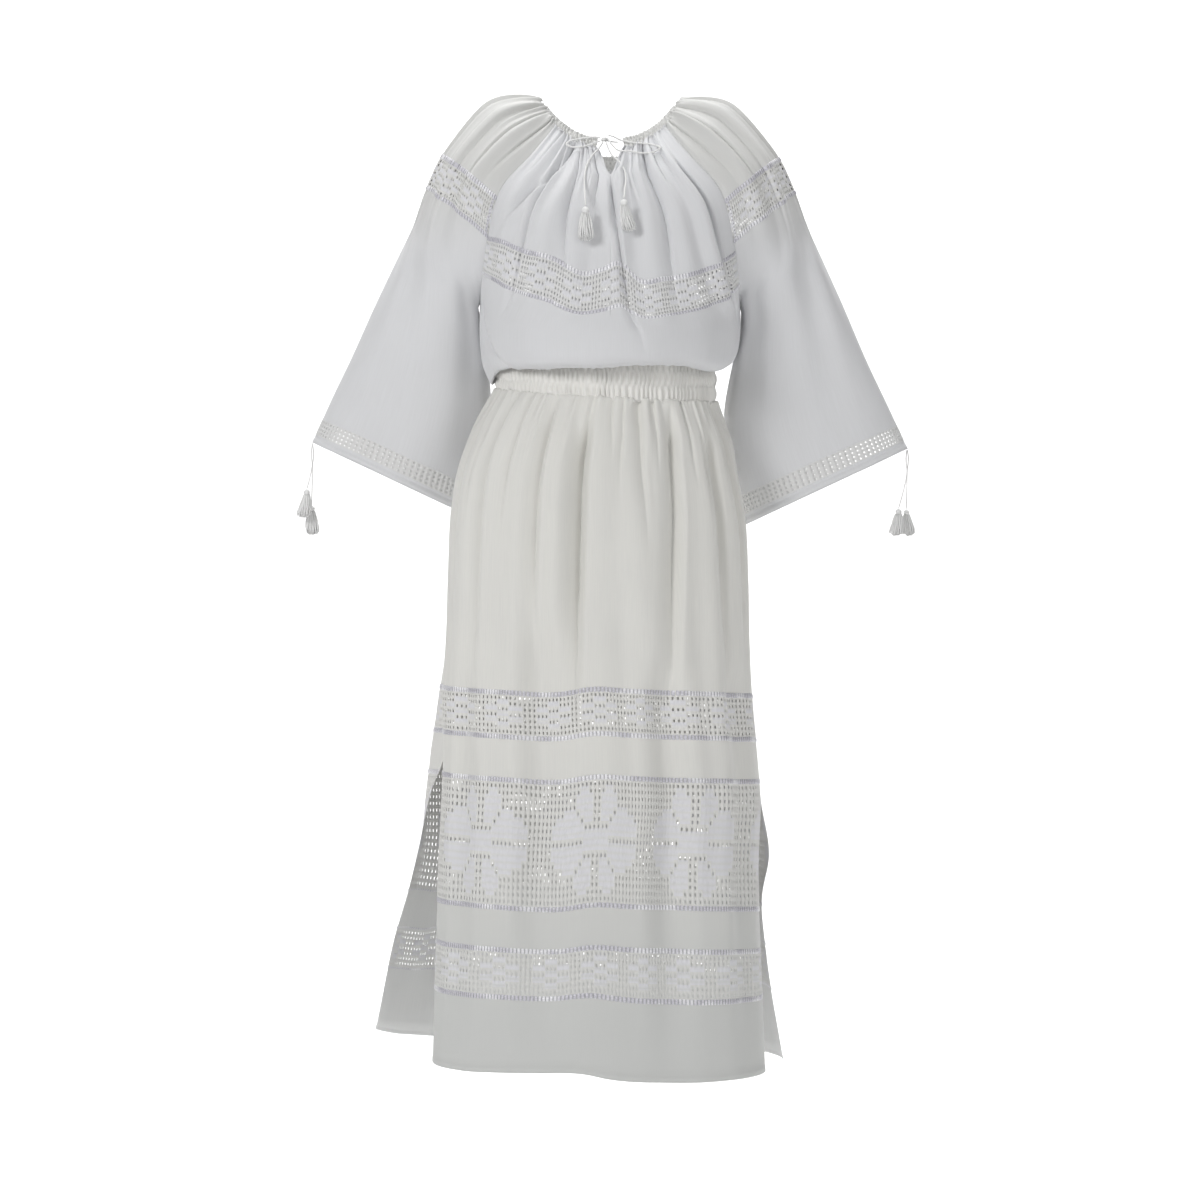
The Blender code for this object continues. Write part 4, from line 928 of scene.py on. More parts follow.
def grid_faces(rows, columns, closed=False):
    """Four-sided faces of a grid of points, closed round its columns where asked."""
    across = np.arange(columns - (0 if closed else 1))
    i, j = np.meshgrid(np.arange(rows - 1), across, indexing="ij")
    first = i * columns + j
    after = i * columns + (j + 1) % columns
    return np.stack([first, first + columns, after + columns, after], axis=-1)


def tube_faces(rows, columns):
    """A list of the faces of a grid that is closed round its columns."""
    return grid_faces(rows, columns, closed=True).reshape(-1, 4)


def joined(parts):
    """One set of points, faces and further arrays from the parts of a piece."""
    points, faces, *others = zip(*parts)
    offsets = np.cumsum([0] + [len(some) for some in points[:-1]])
    moved = [some + offset for some, offset in zip(faces, offsets)]
    return [np.concatenate(some) for some in (points, moved, *others)]


def thicken(thing):
    """Give a sheet its cloth's thickness, half on each side."""
    wall = thing.modifiers.new("thickness", "SOLIDIFY")
    wall.thickness = CLOTH
    wall.offset = 0.0


def merge_doubles(thing):
    """Join points of a mesh that coincide."""
    work = bmesh.new()
    work.from_mesh(thing.data)
    bmesh.ops.remove_doubles(work, verts=work.verts, dist=1e-6)
    work.to_mesh(thing.data)
    work.free()


def filled_cells(chart, cells, middle):
    """Rows by cells of a woven band: true where the cell is filled.

    The chart's rows run from the band's edge to its middle and back. The rosette's chart is half
    of its width, so it is also mirrored across; the chain's is a whole repeat.
    """
    rows = chart + chart[-2::-1] if chart is not LADDER else chart
    wide = len(rows[0])
    cell = np.arange(cells) - middle
    if chart is ROSETTE:
        cell = np.mod(cell, 2 * wide)
        cell = np.minimum(cell, 2 * wide - 1 - cell)
    signs = np.array([list(row) for row in rows])
    return signs[:, np.mod(cell, wide)] == "#"


def woven_lines(strips, cells, middle, tall):
    """Level grid lines of a panel, and for each strip between two of them its kind and its cells.

    A kind is 0 on plain cloth, 1 on the threads of an open band and 2 in its row of holes.
    """
    lines, kinds, fills, start = [0.0], [], [], 0.0
    for kind, end, detail in strips:
        if kind == "open":
            filled = filled_cells(detail, cells, middle)
            pitch = (end - start) / len(filled)
            for count, row in enumerate(filled):
                top = start + (count + (1 - tall) / 2) * pitch
                lines += [top, top + tall * pitch]
                kinds += [1, 2]
                fills += [row, row]
            lines.append(end)
            kinds.append(1)
            fills.append(filled[-1])
        else:
            count = max(1, round((end - start) / detail))
            lines += list(start + (end - start) * (np.arange(count) + 1) / count)
            kinds += [0] * count
            fills += [np.zeros(cells, bool)] * count
        start = end
    return np.array(lines), np.array(kinds), np.array(fills)


def line_levels(strips):
    """How far down a panel the middles of its raised lines are."""
    starts = [0] + [end for _, end, _ in strips]
    return [(start + end) / 2 for start, (kind, end, _) in zip(starts, strips) if kind == "line"]


def woven_part(panel, strips, places, first, last, middle, wide=HOLE_WIDE, tall=HOLE_TALL):
    """One sheet of woven cloth from one cell to another: points, faces, UVs and weave values.

    The upright grid lines of a cell are its bundle's middle and the two sides of its hole. A
    bundle's middle stands out a little, and the faces of the open cells are left out.
    """
    v, kinds, fills = woven_lines(strips, int(places["cell"][-1]), middle, tall)
    sides = np.array([0.0, (1 - wide) / 2, (1 + wide) / 2])
    at = np.append((np.arange(first, last)[:, None] + sides).ravel(), last)
    u = smooth(at, places["cell"], places["u"])
    bundle = np.append(np.tile([1.0, 0.0, 0.0], last - first), 1.0)
    open_row = np.zeros(len(v))
    open_row[:-1] += kinds > 0
    open_row[1:] += kinds > 0
    lift = BUNDLE_HEIGHT * bundle[None, :] * (open_row > 1)[:, None]
    points = panel.place(*np.meshgrid(u, v), lift)
    faces = grid_faces(len(v), len(u))
    cell = np.repeat(np.arange(first, last), 3)
    filled = fills[:, cell]
    part = np.tile([0, 1, 2], last - first)
    kept = ~((kinds == 2)[:, None] & (part == 1)[None, :] & ~filled)
    weave = np.where(kinds[:, None] == 0, 0.0, np.where(filled, 1.0, 0.5))
    uv = np.stack(np.meshgrid(at * CELL_PITCH, v), axis=-1)
    return points.reshape(-1, 3), faces[kept], uv.reshape(-1, 2), weave[kept]


def woven_panel(name, parts, material, node):
    """A whole panel of woven cloth from one or two sheets that share their middle line."""
    points, faces, uv, weave = joined(parts)
    thing = new_piece(name, points, faces, material, uv, weave)
    if len(parts) > 1:
        merge_doubles(thing)
    thicken(thing)
    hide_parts(node)
    return thing


def stitched_tube(place, length, high, pitch, squeeze=0.0):
    """Raised line of stitches as a flattened tube, closed to a point at both ends.

    place gives the points at shares of the way along, and so many half widths across it. Its
    height has one ridge to each stitch, times a rounded profile across the line.
    """
    count = int(length / pitch) * LINE_RINGS
    step = np.arange(count + 1)[:, None]
    ridge = np.where(step % LINE_RINGS == 0, LINE_DIP, 1.0)
    closing = np.where((step == 0) | (step == count), 0.0, 1.0)
    across = LINE_ACROSS * closing * (1 - squeeze * (1 - ridge))
    points = place(step / count, across, high * LINE_PROFILE * (ridge * closing))
    uv = stack_wide(step * pitch / LINE_RINGS, across)
    return points.reshape(-1, 3), tube_faces(count + 1, len(LINE_ACROSS)), uv.reshape(-1, 2)


def satin_line(panel, at, wide, high, pitch):
    """Raised line across a panel, a little narrower between its stitches."""
    middle = panel.place(np.linspace(0, 1, 60), np.full(60, at))
    return stitched_tube(lambda way, across, lift: panel.place(way, at + across * wide / 2, lift),
                         along_line(middle)[-1], high, pitch, 0.10)


def satin_edge(panel, u_at, start, end, high, pitch):
    """Raised line down a panel, from one level to another beside a seam."""
    points, faces, uv = stitched_tube(
        lambda way, across, lift: panel.place(u_at + across * EDGE_WIDE / 2,
                                              start + (end - start) * way, lift),
        end - start, high, pitch)
    return points, faces[:, ::-1], uv


def line_piece(name, panel, levels, stitch, material, edges=()):
    """All the raised lines of one panel as one piece."""
    made = [satin_line(panel, at, *stitch) for at in levels]
    made += [satin_edge(panel, *edge, *stitch[1:]) for edge in edges]
    points, faces, uv = joined(made)
    thing = new_piece(name, points, faces, material, uv)
    merge_doubles(thing)
    return thing


def band_out(turn, ring, at, down):
    """Outward directions of a band: the cross product of the ways down it and along it."""
    return unit(np.cross(down, ring(turn + TURN_STEP, at) - ring(turn - TURN_STEP, at)))


def shirred(ring, top, foot, out, turns, downs, gather_count, high, material, name, node):
    """Shirred band between two rings: puffs of cloth pinched along its stitched rows.

    The height is a squared sine round the band times a sine down it that is least at each row of
    stitches; every other puff row is shifted by a part of a gather.
    """
    turn, down = np.meshgrid(turns, downs)
    phase = (turn - turns[0]) / (turns[-1] - turns[0]) * gather_count
    row = np.floor(down * PUFF_ROWS)
    phase = phase + 0.30 * np.sin(turn * 17) + 0.18 * np.where(row % 2 == 0, 1, -1)
    number = np.floor(phase)
    puff = 0.30 + 0.70 * np.abs(np.sin(down * PUFF_ROWS * math.pi))
    puff = puff * (0.6 + 0.4 * chance_of(number, row))
    height = high * puff * (2 * np.sin((phase - number) * math.pi) ** 2 - 0.8)
    share = down[..., None]
    points = ring(turn, top) * (1 - share) + ring(turn, foot) * share
    points = points + out(turn) * height[..., None]
    faces = grid_faces(len(downs), len(turns)).reshape(-1, 4)
    uv = stack_wide(along_line(points[0])[None, :], down * PUFF_MAP)
    thing = new_piece(name, points.reshape(-1, 3), faces, material, uv.reshape(-1, 2),
                      np.zeros(len(faces)), replaced=(node,))
    merge_doubles(thing)
    thicken(thing)
    return thing


class Wire:
    """A shader number on which Python's arithmetic adds Math nodes."""

    def __init__(self, finish, socket):
        self.finish = finish
        self.socket = socket

    def math(self, operation, *values):
        node = self.finish.node("ShaderNodeMath", {"operation": operation}, dict(enumerate(values)))
        return Wire(self.finish, node.outputs[0])

    def __add__(self, other):
        return self.math("ADD", self, other)

    def __radd__(self, other):
        return self.math("ADD", other, self)

    def __sub__(self, other):
        return self.math("SUBTRACT", self, other)

    def __rsub__(self, other):
        return self.math("SUBTRACT", other, self)

    def __mul__(self, other):
        return self.math("MULTIPLY", self, other)

    def __rmul__(self, other):
        return self.math("MULTIPLY", other, self)

    def sine(self):
        return self.math("SINE", self)

    def size(self):
        return self.math("ABSOLUTE", self)

    def between(self, low, high):
        """Soft share from 0 at low to 1 at high."""
        node = self.finish.node("ShaderNodeMapRange", {"interpolation_type": "SMOOTHSTEP"},
                                {0: self, 1: low, 2: high})
        return Wire(self.finish, node.outputs[0])


class Finish:
    """A material for one of the dress's finishes, with its nodes made by one method."""

    def __init__(self, name, roughness, **constants):
        self.material = bpy.data.materials.new(name)
        self.material.use_nodes = True
        self.tree = self.material.node_tree
        self.shader = self.tree.nodes["Principled BSDF"]
        self.shader.inputs["Roughness"].default_value = roughness
        for socket, value in constants.items():
            self.shader.inputs[socket.replace("_", " ")].default_value = value

    def node(self, kind, settings=None, values=None):
        """New node of a kind, with its settings and then the values or links of its sockets."""
        node = self.tree.nodes.new(kind)
        for key, value in (settings or {}).items():
            setattr(node, key, value)
        for key, value in (values or {}).items():
            self.join(value, node.inputs[key])
        return node

    def join(self, value, socket):
        """Set a socket to a value, or link it to a wire or another node's output."""
        if isinstance(value, Wire):
            value = value.socket
        if isinstance(value, bpy.types.NodeSocket):
            self.tree.links.new(value, socket)
        else:
            socket.default_value = value

    def place(self):
        """Object coordinates of a point, in metres, as a vector and as x, y and z."""
        coords = self.node("ShaderNodeTexCoord").outputs["Object"]
        parts = self.node("ShaderNodeSeparateXYZ", None, {0: coords})
        return coords, [Wire(self, parts.outputs[i]) for i in range(3)]

    def cloth(self):
        """The piece's own map: metres across and down the cloth."""
        map_node = self.node("ShaderNodeUVMap", {"uv_map": "cloth"})
        parts = self.node("ShaderNodeSeparateXYZ", None, {0: map_node.outputs[0]})
        return map_node.outputs[0], [Wire(self, parts.outputs[i]) for i in range(2)]

    def noise(self, coords, scale, detail=2.0, stretch=(1, 1, 1)):
        """Even noise on coordinates that may be stretched."""
        moved = self.node("ShaderNodeMapping", None, {"Vector": coords, "Scale": stretch})
        node = self.node("ShaderNodeTexNoise", None,
                         {"Vector": moved.outputs[0], "Scale": scale, "Detail": detail})
        return Wire(self, node.outputs[0])

    def blend(self, share, first, second):
        """Colour between two others."""
        node = self.node("ShaderNodeMix", {"data_type": "RGBA"}, {0: share, 6: first, 7: second})
        return node.outputs[2]

    def finish(self, colour, height=None, depth=0.0005, strength=1.0, roughness=None):
        """Join the colour, the height and the roughness to the shader."""
        self.join(colour, self.shader.inputs["Base Color"])
        if roughness is not None:
            self.join(roughness, self.shader.inputs["Roughness"])
        if height is not None:
            bump = self.node("ShaderNodeBump", None,
                             {"Strength": strength, "Distance": depth, "Height": height})
            self.join(bump.outputs[0], self.shader.inputs["Normal"])
        return self.material


def cotton_finish(name, lower_white, upper_white, upper_from, upper_to):
    """White hand-woven cotton: fine plain weave, upright slubs, and dense ribbed cells.

    The cloth is the lower colour and turns to the upper one between two heights. On the sleeves
    these are its cool and warm tones; the skirt's darker foot is painted shade, the back skirt's
    lighter foot is painted light, and the waistband's lighter cream is partly painted light.
    """
    cotton = Finish(name, 0.86, Sheen_Weight=0.25, Sheen_Roughness=0.5, Specular_IOR_Level=0.25)
    coords, (_, _, z) = cotton.place()
    cloth, (across, down) = cotton.cloth()
    attribute = cotton.node("ShaderNodeAttribute", {"attribute_name": "weave"})
    weave = Wire(cotton, attribute.outputs["Fac"])
    filled = weave.between(0.70, 0.80)
    bands = weave.between(0.20, 0.30) - filled
    slub = cotton.noise(cloth, 1.0, 3.0, (900, 22, 1))
    broad = cotton.noise(coords, 9.0, 2.0)
    # Colour by height: on the skirts and the waistband it brings in painted shade or painted light
    base = cotton.blend(z.between(upper_from, upper_to), lower_white, upper_white)
    base = cotton.blend((slub - 0.35) * 0.45, base, THREAD_SHADE)
    base = cotton.blend((broad - 0.42) * 0.35, base, SOFT_SHADE)
    base = cotton.blend(bands * 0.55, base, BAND_WHITE)
    rib = (down * RIB_TURN).sine().size()
    base = cotton.blend(filled * (0.30 + rib * 0.65), base, LILAC_WHITE)
    thread = (across * THREAD_TURN).sine() * (down * THREAD_TURN).sine()
    height = thread * 0.10 + slub * 0.20 + filled * rib * 0.8
    return cotton.finish(base, height, 0.0006, 0.5)


def satin_finish():
    """Shiny thread of the raised lines: lilac-grey in places, white in painted highlights."""
    satin = Finish("satin thread", 0.34, Metallic=0.15, Sheen_Weight=0.3, Specular_IOR_Level=0.6)
    cloth, (across, down) = satin.cloth()
    coords, _ = satin.place()
    ridge = (across * (math.pi / SATIN[2])).sine().size()
    # Painted highlights: white glints on the stitches' ridges, in patches and specks
    glint_patch = satin.noise(coords, 26.0, 1.0).between(0.47, 0.56)
    speckle = satin.noise(cloth, 1.0, 1.0, (420, 3, 1)).between(0.40, 0.62)
    glint = ridge.between(0.20, 0.70) * (glint_patch * 0.55 + speckle * 0.45)
    # Painted shade: the thread turns darker lilac-grey in the furrows between stitches
    colour = satin.blend(ridge.between(0.10, 0.85), LILAC_FURROW_SHADE, LILAC_PALE)
    colour = satin.blend(glint, colour, SILVER_GLINT)
    fibre = (down * 14 + across * 900).sine()
    return satin.finish(colour, fibre * 0.3 + ridge * 0.4, 0.0004, 0.5, 0.46 - ridge * 0.18)


def thread_finish(name, light, furrow_shade, turn):
    """Matt twisted thread: fine slanting strands with painted shade in their furrows."""
    thread = Finish(name, 0.80, Sheen_Weight=0.35, Specular_IOR_Level=0.25)
    cloth, (across, down) = thread.cloth()
    coords, _ = thread.place()
    strand = (down * turn + across * (2 * math.pi)).sine().size()
    speckle = thread.noise(coords, 520.0, 2.0)
    # Painted shade: the colour darkens into the furrows between the strands
    colour = thread.blend(strand.between(0.05, 0.75) * 0.8 + speckle * 0.2, furrow_shade, light)
    return thread.finish(colour, strand * 0.7 + speckle * 0.4, 0.0003, 0.7)


def route_points(points, step):
    """Points a step apart along the smooth curve through a route's own points."""
    points = np.array(points, float)
    along = along_line(points)
    at = np.linspace(0, along[-1], max(int(round(along[-1] / step)), 4) + 1)
    return np.stack([smooth(at, along, points[:, i]) for i in range(3)], axis=1)


def twisted_cord(name, points, radius, material, replaced=(), sides=10, turn=CORD_TURN):
    """Cord of two strands twisted about each other, with closed ends.

    A section's radius at an angle is its full radius times a share that swings between the
    strands' backs and furrows as the squared cosine of the angle less the twist so far.
    """
    tangent = unit(np.gradient(points, axis=0))
    side = unit(np.cross(tangent, np.array([0.05, 1.0, 0.03])))
    up = np.cross(side, tangent)
    along = along_line(points)
    angle = 2 * math.pi * np.arange(sides) / sides
    share = 0.74 + 0.26 * np.cos(angle - along[:, None] * turn) ** 2
    full = np.broadcast_to(radius, (len(points),)).astype(float).copy()
    full[[0, -1]] = 0.0
    ring = (np.cos(angle)[None, :, None] * side[:, None]
            + np.sin(angle)[None, :, None] * up[:, None])
    verts = points[:, None] + ring * (full[:, None] * share)[..., None]
    uv = stack_wide(angle / (2 * math.pi), along[:, None])
    thing = new_piece(name, verts.reshape(-1, 3), tube_faces(len(points), sides)[:, ::-1],
                      material, uv.reshape(-1, 2), replaced=replaced)
    merge_doubles(thing)
    return thing


def tassel_head(head, neck):
    """A tassel's tied head: its profile turned round, with a small ridge for each strand."""
    turns = np.arange(HEAD_RIDGES * 3)
    angle = 2 * math.pi * turns / len(turns)
    ridge = np.where(turns % 3 == 0, 0.90, 1.0)
    down = np.linspace(0, 1, 12)
    reach = smooth(down, HEAD_SHAPE["down"], HEAD_SHAPE["share"]) * neck
    reach[[0, -1]] = 0.0
    ring = np.stack([np.cos(angle) * ridge, np.sin(angle) * ridge, 0 * angle], axis=-1)
    verts = ring * reach[:, None, None] - np.array([0, 0, head]) * down[:, None, None]
    uv = stack_wide(angle / (2 * math.pi) * HEAD_RIDGES, down[:, None] * head)
    return verts.reshape(-1, 3), tube_faces(len(down), len(turns)), uv.reshape(-1, 2)


def tassel(name, material):
    """Tassel: a ribbed tied head with strands of yarn hanging from it.

    The strands start inside the head, spread over a disc by the golden angle, and end over a
    wider, flatter disc.
    """
    top, long, wide, deep, lean = TASSELS[name]
    head, neck = TASSEL_HEAD * long, TASSEL_NECK * wide
    number = np.arange(STRANDS)
    away = np.sqrt((number + 0.5) / STRANDS)
    turn = number * GOLDEN_ANGLE + lean * 100
    chance = chance_of(number, long * 900)
    step = np.linspace(0, 1, len(STRAND_THICK))[None, :]
    spread = smooth(step, TASSEL_SHAPE["down"], TASSEL_SHAPE["share"])
    start = np.stack([np.cos(turn), np.sin(turn)], axis=-1) * (away * neck * STRAND_START)[:, None]
    stop = np.stack([np.cos(turn) * wide, np.sin(turn) * deep], axis=-1)
    stop *= (away * (0.82 + 0.16 * chance))[:, None]
    flat = start[:, None] + (stop - start)[:, None] * spread[..., None]
    wave = STRAND_WAVE * np.sin(step * 7 + chance[:, None] * 6.28) * step
    flat[..., 0] += wave + lean * step ** 1.4
    flat[..., 1] += 0.7 * wave
    reach = 0.95 + 0.05 * chance - 0.10 * away**2
    drop = -head * STRAND_START - (long * reach[:, None] - head * STRAND_START) * step
    line = np.concatenate([flat, drop[..., None]], axis=-1)
    corner = 2 * math.pi * np.arange(4) / 4
    twist = corner + turn[:, None, None] + step[..., None] * 2.0
    shape = np.stack([np.cos(twist), np.sin(twist), 0 * twist], axis=-1)
    strands = line[:, :, None] + shape * (STRAND_RADIUS * STRAND_THICK)[None, :, None, None]
    last = 4 * (len(STRAND_THICK) - 1)
    caps = [[0, 1, 2, 3], [last + 3, last + 2, last + 1, last]]
    faces = np.concatenate([tube_faces(len(STRAND_THICK), 4), caps])
    uv = stack_wide(corner / (2 * math.pi), step.T * long).reshape(-1, 2)
    points, faces, uv = joined([tassel_head(head, neck)]
                               + [(strand.reshape(-1, 3), faces, uv) for strand in strands])
    thing = new_piece(f"yarn_{name}", points + np.array(top), faces, material, uv,
                      replaced=(name,))
    merge_doubles(thing)
    return thing


def make_camera():
    """The photograph's level view of the dress's front."""
    camera = bpy.data.objects.new("camera", bpy.data.cameras.new("camera"))
    camera.data.lens = CAMERA_LENS
    camera.data.sensor_width = CAMERA_SENSOR
    camera.location = CAMERA_PLACE
    camera.rotation_euler = (math.pi / 2, 0, 0)
    bpy.context.scene.collection.objects.link(camera)
    bpy.context.scene.camera = camera


def cuff_tip(side):
    """The outer tip of a sleeve's cuff, where its ties hang."""
    return sleeve_surface(np.array([[0.5]]), np.array([[SLEEVE_LENGTH]]), side)[0, 0]


def make_neck_tie(cord, yarn):
    """Knot, two loops and two hanging ends with their tassels."""
    places = np.stack([KNOT["x"], KNOT["y"], KNOT["z"]], axis=1)
    along = np.linspace(0, len(places) - 1, 34)
    step = np.arange(len(places), dtype=float)
    line = np.stack([smooth(along, step, places[:, i]) for i in range(3)], axis=1)
    knot = twisted_cord("bow_knot", line, smooth(along, step, KNOT["radius"]), cord, ("tie_knot",))
    for name, points in TIE_ROUTES.items():
        line = route_points(points, 0.0008)
        piece = twisted_cord(f"cord_{name}", line, TIE_RADIUS, cord, (name,))
        word = name.split("_")[-1]
        if "loop" in name:
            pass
        else:
            hung = tassel(f"tassel_neck_{word}", yarn)


def make_cuff_ties(cord, yarn):
    """Two thin cords from each cuff's tip, turned about each other and parted at their tassels."""
    for side, word in ((-1, "left"), (1, "right")):
        start = cuff_tip(side) - np.array([0, 0, CUFF_TIE_RADIUS])
        for half, letter in ((-1, "a"), (1, "b")):
            name = f"tassel_cuff_{word}_{letter}"
            hung = tassel(name, yarn)
            end = np.array(TASSELS[name][0]) + (0, 0, SEAM_GAP)
            length = start[2] - end[2]
            drop = np.linspace(0, length, 60)[:, None]
            phase = math.pi * (np.minimum(drop / CUFF_TIE_PARTING, 1) - 0.5)
            part = np.clip((drop - CUFF_TIE_PARTING) / (length - CUFF_TIE_PARTING), 0, 1)
            part = part**CUFF_TIE_BEND
            spin = np.concatenate([np.cos(phase), np.sin(phase), 0 * drop], axis=1)
            spin *= half * CUFF_TIE_APART * (1 - part)
            line = start + np.concatenate([part * (end - start)[:2], -drop], axis=1) + spin
            piece = twisted_cord(f"cord_cuff_{word}_{letter}", line, CUFF_TIE_RADIUS, cord,
                                 (f"cuff_tie_{word}_{letter}",), sides=8, turn=1.4 * CORD_TURN)


def bodice_panel(rows, face, folds, places, seed, wave, slip, half=0, span=(0.0, 1.0)):
    """Front or back of the bodice, or one half of the front beside the keyhole."""
    return Panel(lambda u, v: blouse_surface(u, v, rows, face, half),
                 lambda u, v: blouse_heights(u, v, folds, places, seed, wave),
                 BLOUSE_LENGTH, slip, face > 0, span)


def make_bodice(cotton, satin):
    """Front in two halves joined below the keyhole, and back, with their raised lines."""
    halves = [(-1, (0.0, 0.5), (0, 48)), (1, (0.5, 1.0), (48, 96))]
    whole = [(0, (0.0, 1.0), (0, 96))]
    for word, parts, *makings in (
            ("front", halves, FRONT, -1, FRONT_FOLDS, FRONT_VALLEYS, 1.0, 0.4, BLOUSE_SLIP),
            ("back", whole, BACK, 1, BACK_FOLDS, BACK_VALLEYS, 4.0, 1.7, NO_SLIP)):
        sheets = [woven_part(bodice_panel(*makings, half, span), BLOUSE_STRIPS, BLOUSE_CELLS,
                             *cells, 48) for half, span, cells in parts]
        bodice = woven_panel(f"bodice_{word}", sheets, cotton, f"blouse_{word}")
        lines = line_piece(f"bodice_{word}_lines", bodice_panel(*makings),
                           line_levels(BLOUSE_STRIPS), SATIN, satin)


def make_sleeves(cotton, satin):
    """Both sleeves, each with its satin lines, their ends beside the seam, and cuff stitches."""
    for side, word, strips in ((-1, "left", LEFT_SLEEVE_STRIPS), (1, "right", RIGHT_SLEEVE_STRIPS)):
        panel = Panel(lambda u, v, s=side: sleeve_surface(u, v, s),
                      lambda u, v, s=side: sleeve_heights(u, v, 7.0 + s),
                      SLEEVE_LENGTH, NO_SLIP, side < 0)
        sheet = woven_part(panel, strips, SLEEVE_CELLS, 0, 88, 44)
        sleeve = woven_panel(f"sleeve_cloth_{word}", [sheet], cotton, f"sleeve_{word}")
        levels = line_levels(strips)
        edges = [(at, *levels[:2]) for at in (EDGE_IN, 1 - EDGE_IN)]
        lines = line_piece(f"sleeve_lines_{word}", panel, levels[:2], SATIN, satin, edges)
        stitches = line_piece(f"cuff_stitches_{word}", panel, levels[2:], CUFF_STITCH, cotton)


def make_skirt(front_cotton, back_cotton, satin):
    """Front and back of the skirt, with their raised lines."""
    for word, rows, face, folds, seed, slip, places, middle, hole, cotton in (
            ("front", SKIRT_FRONT, -1, SKIRT_FRONT_FOLDS, 3.0, SKIRT_SLIP, SKIRT_CELLS, 45,
             (HOLE_WIDE, HOLE_TALL), front_cotton),
            ("back", SKIRT_BACK, 1, SKIRT_BACK_FOLDS, 13.0, NO_SLIP, SKIRT_BACK_CELLS, 52,
             (BACK_HOLE_WIDE, BACK_HOLE_TALL), back_cotton)):
        panel = Panel(lambda u, v, r=rows, f=face: skirt_surface(u, v, r, f),
                      lambda u, v, f=folds, s=seed, m=face > 0: skirt_heights(u, v, f, s, m),
                      SKIRT_LENGTH, slip, face > 0)
        sheet = woven_part(panel, SKIRT_STRIPS, places, 0, int(places["cell"][-1]), middle, *hole)
        skirt = woven_panel(f"skirt_cloth_{word}", [sheet], cotton, f"skirt_{word}")
        lines = line_piece(f"skirt_lines_{word}", panel, line_levels(SKIRT_STRIPS), SATIN, satin)


def make_bands(neck_cotton, waist_cotton):
    """Shirred neck casing, open at the keyhole, and waistband."""
    casing = shirred(
        neck_ring, NECK_TOP, NECK_FOOT,
        lambda turn: band_out(turn, neck_ring, NECK_FOOT,
                              neck_ring(turn, NECK_FOOT) - neck_ring(turn, NECK_TOP)),
        np.linspace(KEYHOLE_TURN, 2 * math.pi - KEYHOLE_TURN, NECK_GATHERS * 6 + 1),
        np.linspace(-0.04, 1.04, 13), NECK_GATHERS, NECK_PUFF, neck_cotton,
        "casing_cloth", "neck_casing")
    band = shirred(
        waist_ring, WAIST_TOP, WAIST_FOOT,
        lambda turn: band_out(turn, waist_ring, WAIST_TOP, np.array([0.0, 0.0, -1.0])),
        np.linspace(0, 2 * math.pi, WAIST_GATHERS * 5 + 1),
        np.linspace(0, 1.06, 13), WAIST_GATHERS, WAIST_PUFF, waist_cotton,
        "waist_cloth", "waistband")


def make_floor():
    """Pale paper that lies flat under the dress and curves up far behind it."""
    along = np.linspace(0, 1, FLOOR_ROWS)
    bend_from, rise_from = FLOOR_PARTS
    flat = np.clip(along / bend_from, 0, 1)
    bend = np.clip((along - bend_from) / (rise_from - bend_from), 0, 1) * math.pi / 2
    rise = np.clip((along - rise_from) / (1 - rise_from), 0, 1)
    y = FLOOR_START + FLOOR_DEEP * flat + FLOOR_BEND * np.sin(bend)
    z = FLOOR_LEVEL + FLOOR_BEND * (1 - np.cos(bend)) + FLOOR_RISE * rise
    points = stack_wide(np.array([-FLOOR_HALF, FLOOR_HALF]), y[:, None], z[:, None])
    mesh = bpy.data.meshes.new("floor")
    mesh.from_pydata(points.reshape(-1, 3).tolist(), [],
                     grid_faces(FLOOR_ROWS, 2).reshape(-1, 4)[:, ::-1].tolist())
    mesh.shade_smooth()
    paper = Finish("pale paper", 0.9, Specular_IOR_Level=0.1)
    coords, _ = paper.place()
    grain = paper.noise(coords, 3.0, 2.0)
    mesh.materials.append(paper.finish(paper.blend(grain * 0.2, PAPER_WHITE, PAPER_SHADE)))
    floor = bpy.data.objects.new("floor", mesh)
    bpy.context.scene.collection.objects.link(floor)


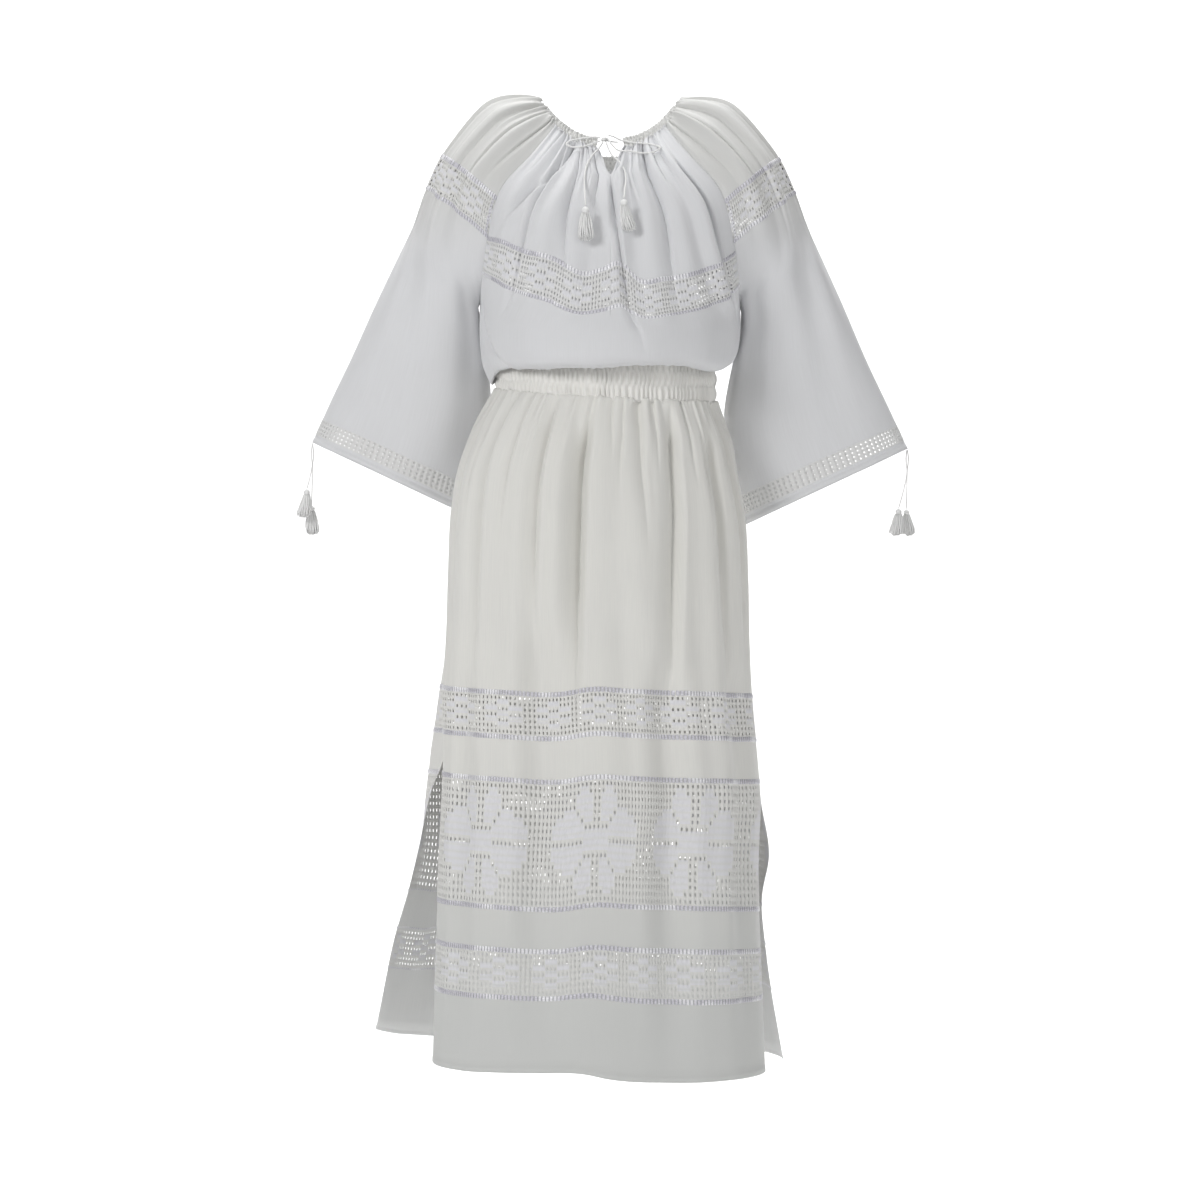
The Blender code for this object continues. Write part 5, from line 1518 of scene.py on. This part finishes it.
def make_light():
    """Key, fill, floor and paper lights, a small one inside the neck, and an even sky."""
    for name, place, aim, size, power in LIGHTS:
        light = bpy.data.lights.new(name, "AREA")
        light.shape = "SQUARE"
        light.size = size
        light.energy = power
        lamp = bpy.data.objects.new(name, light)
        lamp.location = place
        way = mathutils.Vector(aim) - mathutils.Vector(place)
        lamp.rotation_euler = way.to_track_quat("-Z", "Y").to_euler()
        bpy.context.scene.collection.objects.link(lamp)
    world = bpy.data.worlds.new("sky")
    world.use_nodes = True
    sky = world.node_tree.nodes["Background"]
    sky.inputs["Color"].default_value = (1, 1, 1, 1)
    sky.inputs["Strength"].default_value = SKY_STRENGTH
    bpy.context.scene.world = world
    bpy.context.scene.view_settings.view_transform = "Standard"


make_camera()
cord_thread = thread_finish("twisted cord", THREAD_WHITE, THREAD_FURROW_SHADE, CORD_STRAND_TURN)
tassel_yarn = thread_finish("tassel yarn", YARN_WHITE, YARN_FURROW_SHADE, YARN_STRAND_TURN)
bodice_cotton = cotton_finish("bodice cotton", COOL_WHITE, COOL_WHITE, -0.2, -0.1)
sleeve_cotton = cotton_finish("sleeve cotton", COOL_WHITE, WARM_WHITE, -0.20, -0.08)
# The skirt's cloth turns darker towards the hem: painted shade
skirt_cotton = cotton_finish("skirt cotton", FOOT_PAINTED_SHADE, CREAM_WHITE, -1.10, -0.70)
# The back skirt's cloth is the skirt's with a lighter foot: painted light on the shadowed back
back_cotton = cotton_finish("skirt back cotton", BACK_FOOT_PAINTED_LIGHT, CREAM_WHITE, -1.00, -0.70)
# The waistband's cloth is lighter than the skirt's: partly its cream tone, partly painted light
waist_cotton = cotton_finish("waist cotton", CREAM_WHITE, WAIST_PAINTED_LIGHT, -0.50, -0.40)
satin_thread = satin_finish()
make_neck_tie(cord_thread, tassel_yarn)
make_cuff_ties(cord_thread, tassel_yarn)
make_bodice(bodice_cotton, satin_thread)
make_sleeves(sleeve_cotton, satin_thread)
make_skirt(skirt_cotton, back_cotton, satin_thread)
make_bands(sleeve_cotton, waist_cotton)
make_floor()
make_light()
